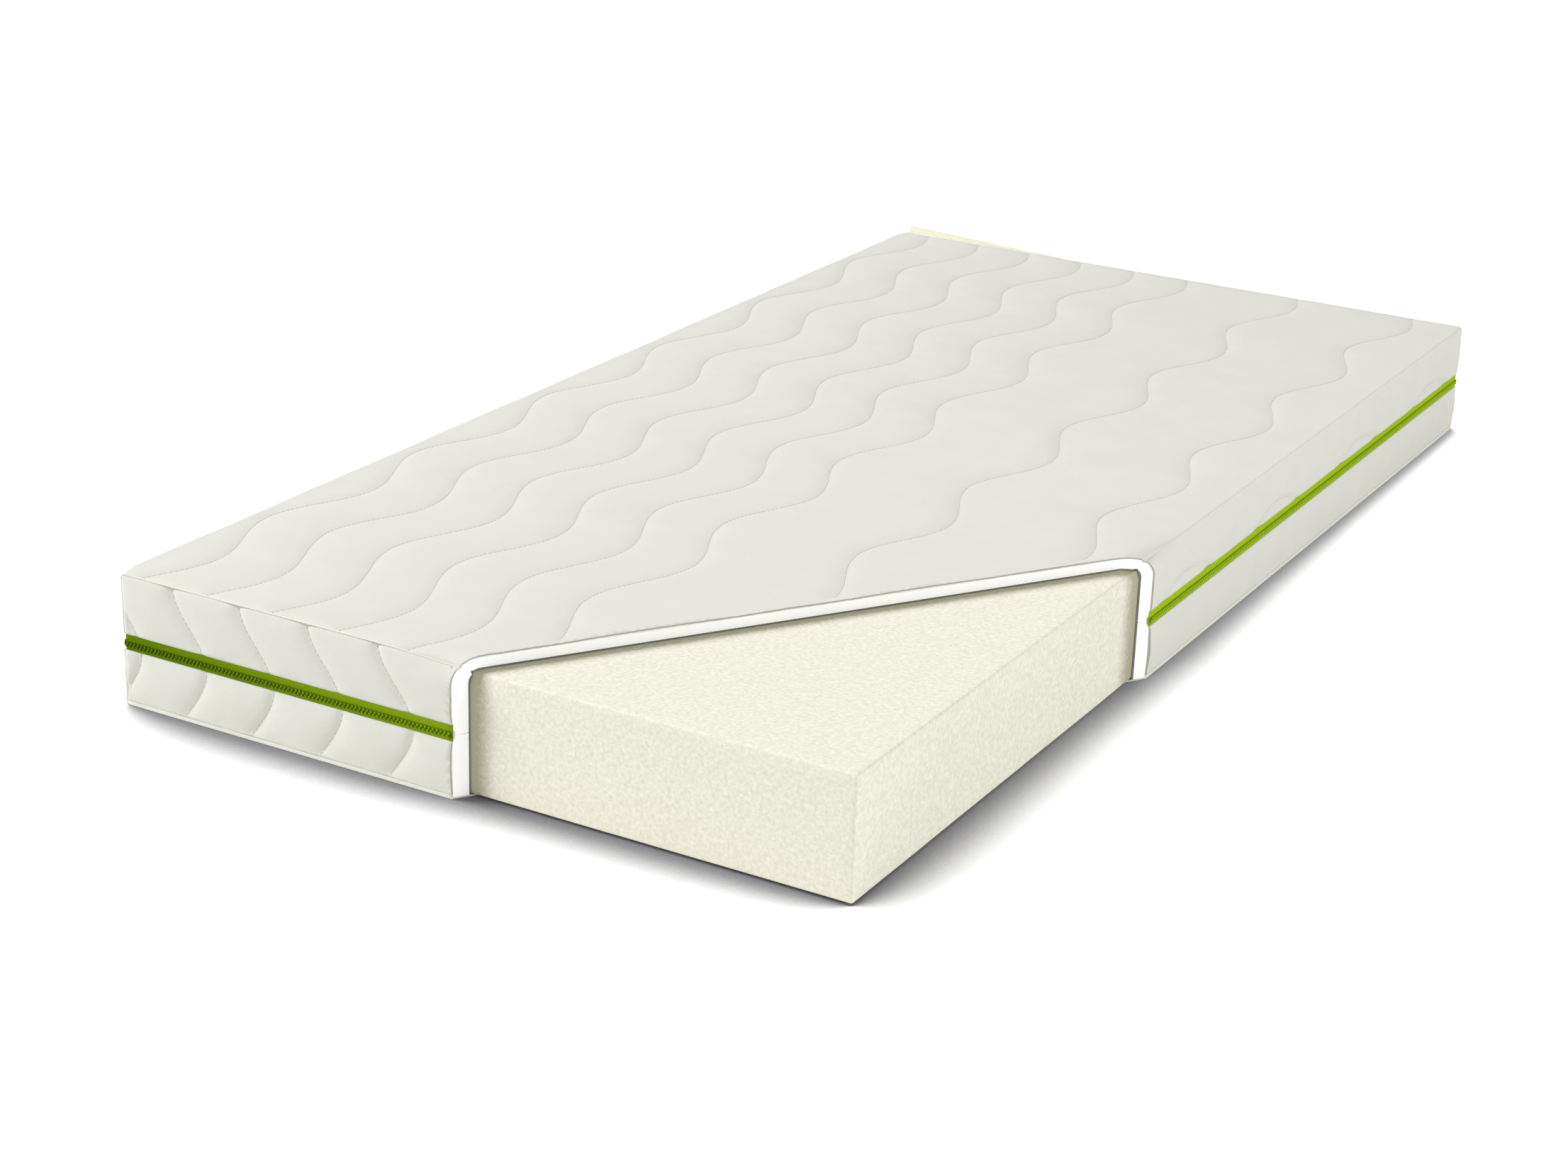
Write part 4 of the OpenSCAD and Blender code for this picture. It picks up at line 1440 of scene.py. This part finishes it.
    def make_binding(self, edge: "Perimeter") -> None:
        """Folded tape round the bottom edge: a flattened oval section, 1.6 mm thick.

        Args:
            edge: The line that it follows.
        """
        size, half = self.size, (self.size.binding_h - self.size.gap) / 2
        x, y = (np.sign(wave) * np.abs(wave) ** 0.6 for wave in (np.cos(turns(16)), np.sin(turns(16))))
        ring = edge.swept(vec(-0.62 * MM + 0.8 * MM * x, half * y), half + size.gap, 9 * MM)
        self.add("bottom_binding", ring, self.finishes.trim, "lower_cover", "base_binding")

    def make_base(self) -> None:
        """Plain fabric underneath, one flat layer inside the binding."""
        size, inset = self.size, self.size.face_t
        r, width, length = size.edge_r - inset, size.half_w - inset, size.half_l - inset
        bend = r * (1 - np.cos(spread(0, math.pi / 2, 0.25))) - length
        y = np.concatenate([bend, spread(r - length, length - r, 40 * MM)[1:-1], -bend[::-1]])
        reach = width - r + np.sqrt(np.maximum(r**2 - np.maximum(np.abs(y) - (length - r), 0) ** 2, 0))
        x, y = np.broadcast_arrays(reach[:, None] * np.sin(np.linspace(-math.pi / 2, math.pi / 2, 41)), y[:, None])
        surface = shell(vec(x, y, size.base_t), vec(x, y, size.gap), x, y)
        surface.attributes["stitched"] = np.zeros(len(surface.points))
        piece = make_object("underside_fabric", surface, [self.finishes.base], smooth=False)
        self.cover.cut(piece)
        declare(piece, "base_weave", "lower_cover", "base_fabric")

    def build(self, edge: "Perimeter") -> None:
        """Makes the seams, the binding and the underside.

        Args:
            edge: The line round the cover.
        """
        self.make_seams()
        self.make_flange()
        self.make_binding(edge)
        self.make_base()


# ---- Foam block ----


@dataclass
class FoamBlock:
    """The one block of foam inside the cover, with knife-cut faces and slightly rounded edges."""

    skin: CoverSkin
    finish: Material
    radius: float = 4 * MM
    step: float = 12 * MM

    def build(self) -> None:
        """Makes the block from six grids, moved onto a rounded box and merged.

        A grid point Q on the plain box is clamped to the box inside the round edges, giving C, and the surface
        point is C + radius * (Q - C) / |Q - C|. The faces dip by up to 0.4 mm, where the knife has wandered.
        """
        low, high = (np.array(c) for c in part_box("foam_core"))
        middle, half, lines, sides = (low + high) / 2, (high - low) / 2, [], []
        for h in half:
            bend = h - self.radius + self.radius * np.tan(np.linspace(0, math.pi / 4, 4))
            lines.append(np.concatenate([-bend[::-1], spread(self.radius - h, h - self.radius, self.step)[1:-1], bend]))
        for axis in range(3):
            a, b = (axis + 1) % 3, (axis + 2) % 3
            for sign in (-1, 1):
                q = np.zeros((len(lines[b]), len(lines[a]), 3))
                q[..., axis], q[..., a], q[..., b] = sign * half[axis], lines[a][None, :], lines[b][:, None]
                flat, quads = q.reshape(-1, 3), grid_quads(*q.shape[:2], False, False)[0][:, ::sign]
                sides.append(Surface(flat, [(quads, flat[quads][..., [a, b]])]))
        plain = Surface.joined(sides)
        q, inner = plain.points, np.clip(plain.points, self.radius - half, half - self.radius)
        dip = 0.4 * MM * (unevenness(q[:, 0] + q[:, 2], q[:, 1] - q[:, 2], 130 * MM, 7) - 1) / 2
        surface = self.skin.relaxed(middle + inner + unit(q - inner) * (self.radius + dip[:, None]))
        keys = np.round(q * 1e6).astype(np.int64)
        _, first, place = np.unique(keys, axis=0, return_index=True, return_inverse=True)
        made = Surface(surface[first], [(place.ravel()[f], uv) for f, uv in plain.faces])
        piece = make_object("foam_block", made, [self.finish])
        declare(piece, "polyurethane_foam", "core", "foam_core")


# ---- Zip ----


@dataclass
class Perimeter:
    """The line round the cover's four sides, by its length: straight, then a quarter turn at each corner.

    It starts and ends at the place start on the left side, and runs towards the head first.
    """

    size: CoverSize
    start: float

    def __post_init__(self) -> None:
        """Sets out the corners' knots."""
        r, start = self.size.edge_r, self.start
        x, y, corner = self.size.half_w - r, self.size.half_l - r, r * math.pi / 2
        steps = [0, y - start, corner, 2 * x, corner, 2 * y, corner, 2 * x, corner, y + start]
        self.knots = np.cumsum(steps)
        self.x = np.array([-x, -x, -x, x, x, x, x, -x, -x, -x])
        self.y = np.array([start, y, y, y, y, -y, -y, -y, -y, start])
        self.turn = np.pi * np.array([1, 1, 0.5, 0.5, 0, 0, -0.5, -0.5, -1, -1])
        self.length = float(self.knots[-1])

    def at(self, s: Array) -> tuple[Array, Array]:
        """Places on the line.

        Args:
            s: Lengths along it.

        Returns:
            Points on the cover's face, and the outward directions there.
        """
        x, y, turn = (np.interp(s, self.knots, values) for values in (self.x, self.y, self.turn))
        normal = vec(np.cos(turn), np.sin(turn), 0.0)
        return vec(x, y, 0.0) + normal * self.size.edge_r, normal

    def stations(self, start: float, end: float, step: float) -> Array:
        """Lengths with every knot among them and short steps round the corners.

        Args:
            start: The first length.
            end: The last length.
            step: Distance between them on the straights.

        Returns:
            The lengths.
        """
        marks, parts = [start] + [k for k in self.knots if start < k < end] + [end], []
        for a, b in zip(marks[:-1], marks[1:]):
            bends = abs(np.interp(a, self.knots, self.turn) - np.interp(b, self.knots, self.turn)) > 0.01
            parts.append(spread(a, b, 2.5 * MM if bends else step)[:-1])
        return np.concatenate(parts + [[end]])

    def swept(self, profile: Array, z: float, step: float, span: tuple[float, float] | None = None) -> Surface:
        """A section carried round: its x points out of the cover's face, its y up.

        Args:
            profile: The closed section, m by 2.
            z: Height of the section's origin.
            step: Distance between stations on the straights.
            span: Start and end lengths, or None for the whole line, closed.

        Returns:
            The closed surface.
        """
        lengths = self.stations(*(span or (0.0, self.length)), step)
        points, normal = self.at(lengths if span else lengths[:-1])
        points[:, 2] = z
        return carried(points, normal, np.broadcast_to([0.0, 0.0, 1.0], normal.shape), profile, lengths, span is None)


@dataclass
class Zip:
    """The zip all round: a woven tape and a nylon coil for each half, and the slider on the left side."""

    cover: Cover
    edge: Perimeter
    finishes: Finishes
    tape_depth: float = 1.5 * MM
    tape_t: float = 0.8 * MM
    coil_start: float = 0.15 * MM
    coil_half: float = 3.5 * MM
    coil_proud: float = 1.1 * MM
    core_r: float = 0.75 * MM
    tooth_overlap: float = 0.35 * MM
    tooth_pitch: float = 5.4 * MM
    gap_half: float = 42.25 * MM
    step: float = 14 * MM

    def add(self, half: str, part: str, surface: Surface, finish: Material) -> None:
        """Makes one piece of a half, less the corner that is cut away, and hangs it on its CAD body in place of its CAD
        node.

        Args:
            half: "upper" or "lower".
            part: "tape", "coil" or "coil_loops".
            surface: Its form.
            finish: Its material.
        """
        piece, kind = make_object(f"{half}_{part}", surface, [finish]), "zip_" + part.split("_")[0]
        self.cover.cut(piece)
        declare(piece, kind, half + "_cover", f"{half}_{kind}")

    def make_half(self, upper: bool) -> None:
        """Tape, filler cord and loops of one half; the upper chain leaves the slider's stretch open.

        Args:
            upper: Whether it is the half above the zip's line.
        """
        size, edge, finishes = self.cover.size, self.edge, self.finishes
        half, sign = ("upper", 1) if upper else ("lower", -1)
        span = (self.gap_half, edge.length - self.gap_half) if upper else None
        reach = (size.band_top - size.zip_z if upper else size.zip_z - size.band_bottom) - size.gap
        near, front, coil = size.split / 2, -self.tape_depth, self.coil_half
        up = np.concatenate([spread(near, reach, 1.2 * MM), spread(reach, near, 1.2 * MM)]) * sign
        bow = 0.25 * MM * np.sin(math.pi * np.clip((np.abs(up) - coil) / (reach - coil), 0, 1))
        out = np.where(np.arange(len(up)) < len(up) // 2, front + bow, front - self.tape_t)
        woven = [edge.swept(vec(out, up), size.zip_z, self.step, span)]
        if upper:
            woven += [self.behind_slider(near, reach, part) for part in ((0.0, span[0]), (span[1], edge.length))]
        self.add(half, "tape", Surface.joined(woven), finishes.tape)

        turn, middle = turns(10), (self.coil_start + coil) / 2
        core = vec(front + self.core_r * (1 + np.cos(turn)), sign * middle + (coil - middle) * 0.92 * np.sin(turn))
        self.add(half, "coil", edge.swept(core, size.zip_z, self.step, span), finishes.coil_core)

        first, last = span or (0.0, edge.length)
        count = int((last - first) / self.tooth_pitch)
        points, normal = edge.at(first + (np.arange(count) + (0.25 if upper else 0.75)) * (last - first) / count)
        kept = size.beyond_cut(points) < -1.5 * MM
        points, normal, height = points[kept], normal[kept], self.coil_proud + self.tape_depth
        up = np.broadcast_to([0.0, 0.0, float(sign)], normal.shape)
        centres = points + normal * (front + height / 2) + up * (coil - self.tooth_overlap) / 2 + [0, 0, size.zip_z]
        axes = np.stack([up, np.cross(normal, up), normal], 1)
        tooth = grain(coil + self.tooth_overlap, self.tooth_pitch * 0.56, height)
        self.add(half, "coil_loops", strewn(tooth, centres, axes), finishes.coil)

    def behind_slider(self, near: float, reach: float, part: tuple[float, float]) -> Surface:
        """The upper tape where the slider runs, pressed 1.5 mm back behind it and 0.5 mm thick.

        Args:
            near: Its lower edge's distance from the zip's line.
            reach: Its upper edge's distance.
            part: Lengths on the line where it starts and ends.

        Returns:
            The closed strip.
        """
        rise = np.array([near, 3.6 * MM, 5.8 * MM, 8.0 * MM, reach])
        front = -self.tape_depth - np.array([1.5, 1.5, 0.0, 0.0, 0.0]) * MM
        profile = vec(np.append(front, front[::-1] - 0.5 * MM), np.append(rise, rise[::-1]))
        return self.edge.swept(profile, self.cover.size.zip_z, self.step, part)

    def dress_slider(self) -> None:
        """Gives the slider and its pull tab, whose CAD shapes stay, their enamel."""
        for node in ("slider_body", "slider_pull"):
            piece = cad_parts[node]
            piece.data.materials.clear()
            piece.data.materials.append(self.finishes.enamel)

    def build(self) -> None:
        """Makes both halves and dresses the slider."""
        self.make_half(True)
        self.make_half(False)
        self.dress_slider()


# ---- Room: floor, light and camera ----


def seen(tree: Tree, otherwise: float, strength: float) -> Socket:
    """A strength that differs between what is seen and what gives light.

    Args:
        tree: The tree to add the nodes to.
        otherwise: The value for all other light.
        strength: The value for what the camera sees, straight or in metal and glass.

    Returns:
        The strength.
    """
    path = add_node(tree, "LightPath", {}).outputs
    rays = scaled_mix(tree, [(path[f"Is {kind} Ray"], 1.0) for kind in ("Camera", "Glossy", "Transmission")])
    return add_node(tree, "Mix", {"data_type": "FLOAT", 0: rays, 2: otherwise, 3: strength}).outputs[0]


@dataclass(frozen=True)
class Lamp:
    """One soft round lamp: where it hangs, what it looks at, its width in metres and its power in watts."""

    name: str
    place: tuple[float, float, float]
    aim: tuple[float, float, float]
    width: float
    power: float


@dataclass
class Studio:
    """Pale floor, plain soft light and the camera."""

    eye: tuple[float, float, float] = (1.7556, -3.4173, 1.4327)
    yaw: float = 29.24
    pitch: float = 21.35
    roll: float = 1.91
    lens: float = 67.0
    ambient: float = 0.58
    floor_half: float = 8.0
    floor_lift: float = 0.62
    # Longest reach of the floor's painted contact shadow, at the foot.
    shadow_paint_reach: float = 330 * MM
    lamps: tuple[Lamp, ...] = (
        Lamp("key_left", (-8.1, -3.9, 6.7), (0.0, -0.2, 0.1), 3.2, 880.0),
        Lamp("fill_right", (5.2, -0.4, 2.0), (0.5, 0.2, 0.1), 2.0, 86.0),
        Lamp("fill_front", (2.4, -6.0, 1.5), (0.0, -1.0, 0.1), 2.0, 12.0),
    )

    def make_floor(self) -> None:
        """A wide white floor that keeps the mattress's shadow, with a painted contact shadow besides.

        The camera and mirrors see it lifted towards white, but for where something stands over it within the painted
        shadow's
        reach: there, as painted shadow, the lift falls to 0.1 * (y + 1 m) and its colour deepens. The reach is
        shadow_paint_reach * 0.38^(y + 1 m), so it is longest at the foot.
        """
        ends = np.array([-self.floor_half, self.floor_half])
        points, quads = vec(*np.meshgrid(ends, ends), 0.0).reshape(-1, 3), grid_quads(2, 2, False, False)[0]
        material = bpy.data.materials.new("matt_white_floor")
        material.use_nodes = True
        tree = material.node_tree
        shader = tree.nodes["Principled BSDF"].inputs
        shader["Roughness"].default_value = 1.0
        shader["Specular IOR Level"].default_value = 0.0
        shader["Emission Color"].default_value = (1, 1, 1, 1)
        # Painted contact shadow: where ambient occlusion finds the mattress near, the floor's colour darkens and its
        # lift falls away.
        along = own_axis(tree, "Y")
        power = {"operation": "POWER", 0: 0.38, 1: scaled_mix(tree, [(along, 1.0)], 1.0)}
        reach = scaled_mix(tree, [(add_node(tree, "Math", power).outputs[0], self.shadow_paint_reach)])
        sky = add_node(tree, "AmbientOcclusion", {"samples": 24, "Distance": reach}).outputs["AO"]
        steps = {"interpolation_type": "SMOOTHSTEP", "From Min": 0.48, "From Max": 0.84, "Value": sky}
        clear = add_node(tree, "MapRange", steps).outputs[0]
        plain = add_node(tree, "Math", {"operation": "MAXIMUM", 0: clear, 1: seen(tree, 1.0, 0.0)}).outputs[0]
        # The dark colour is the painted shadow's, the pale one the floor's own.
        painted_shadow_colour = add_node(tree, "Mix", {"data_type": "RGBA", 0: plain, 6: linear("#76767c"), 7: linear("#f6f6f5")})
        levels = {"data_type": "FLOAT", 0: clear, 2: scaled_mix(tree, [(along, 0.1)], 0.1), 3: self.floor_lift}
        level = add_node(tree, "Mix", levels).outputs[0]
        lift = add_node(tree, "Math", {"operation": "MULTIPLY", 0: level, 1: seen(tree, 0.0, 1.0)})
        tree.links.new(painted_shadow_colour.outputs[2], shader["Base Color"])
        tree.links.new(lift.outputs[0], shader["Emission Strength"])
        make_object("floor", Surface(points, [(quads, np.zeros((1, 4, 2)))]), [material], smooth=False)

    def make_light(self) -> None:
        """An even white room and three soft lamps."""
        world = bpy.data.worlds.new("studio")
        bpy.context.scene.world = world
        world.use_nodes = True
        tree = world.node_tree
        shown = tree.nodes["Background"]
        shown.inputs["Color"].default_value = (1, 1, 1, 1)
        tree.links.new(seen(tree, self.ambient, 1.0), shown.inputs["Strength"])
        for lamp in self.lamps:
            data = bpy.data.lights.new(lamp.name, "AREA")
            data.shape, data.size, data.energy = "DISK", lamp.width, lamp.power
            holder = bpy.data.objects.new(lamp.name, data)
            holder.location = lamp.place
            holder.rotation_mode = "QUATERNION"
            holder.rotation_quaternion = (Vector(lamp.aim) - Vector(lamp.place)).to_track_quat("-Z", "Y")
            bpy.context.scene.collection.objects.link(holder)

    def make_camera(self) -> None:
        """Turns a level camera by yaw, pitch and roll, in that order."""
        yaw, pitch, roll = (math.radians(a) for a in (self.yaw, self.pitch, self.roll))
        ahead = Vector((-math.sin(yaw) * math.cos(pitch), math.cos(yaw) * math.cos(pitch), -math.sin(pitch)))
        right = ahead.cross(Vector((0, 0, 1))).normalized()
        up = right.cross(ahead)
        tilted = right * math.cos(roll) + up * math.sin(roll), up * math.cos(roll) - right * math.sin(roll)
        data = bpy.data.cameras.new("camera")
        data.sensor_fit, data.sensor_width, data.lens = "HORIZONTAL", 36.0, self.lens
        data.clip_start, data.clip_end = 0.05, 60.0
        camera = bpy.data.objects.new("camera", data)
        camera.matrix_world = Matrix.Translation(self.eye) @ Matrix((*tilted, -ahead)).transposed().to_4x4()
        bpy.context.scene.collection.objects.link(camera)
        bpy.context.scene.camera = camera

    def build(self) -> None:
        """Makes the floor, the light and the camera."""
        bpy.context.scene.view_settings.view_transform = "Standard"
        self.make_floor()
        self.make_light()
        self.make_camera()


def main() -> None:
    """Builds the room and the mattress."""
    logging.basicConfig(level=logging.INFO, format="%(message)s")
    Studio().build()
    size = CoverSize.from_frame()
    finishes = Finishes(size)
    cover = Cover(size, finishes)
    cover.build()
    edge = Perimeter(size, float(np.mean([c.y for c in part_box("slider_body")])) - 30 * MM)
    Trim(cover, finishes).build(edge)
    FoamBlock(cover.skin, finishes.foam).build()
    Zip(cover, edge, finishes).build()


if __name__ == "__main__":
    main()
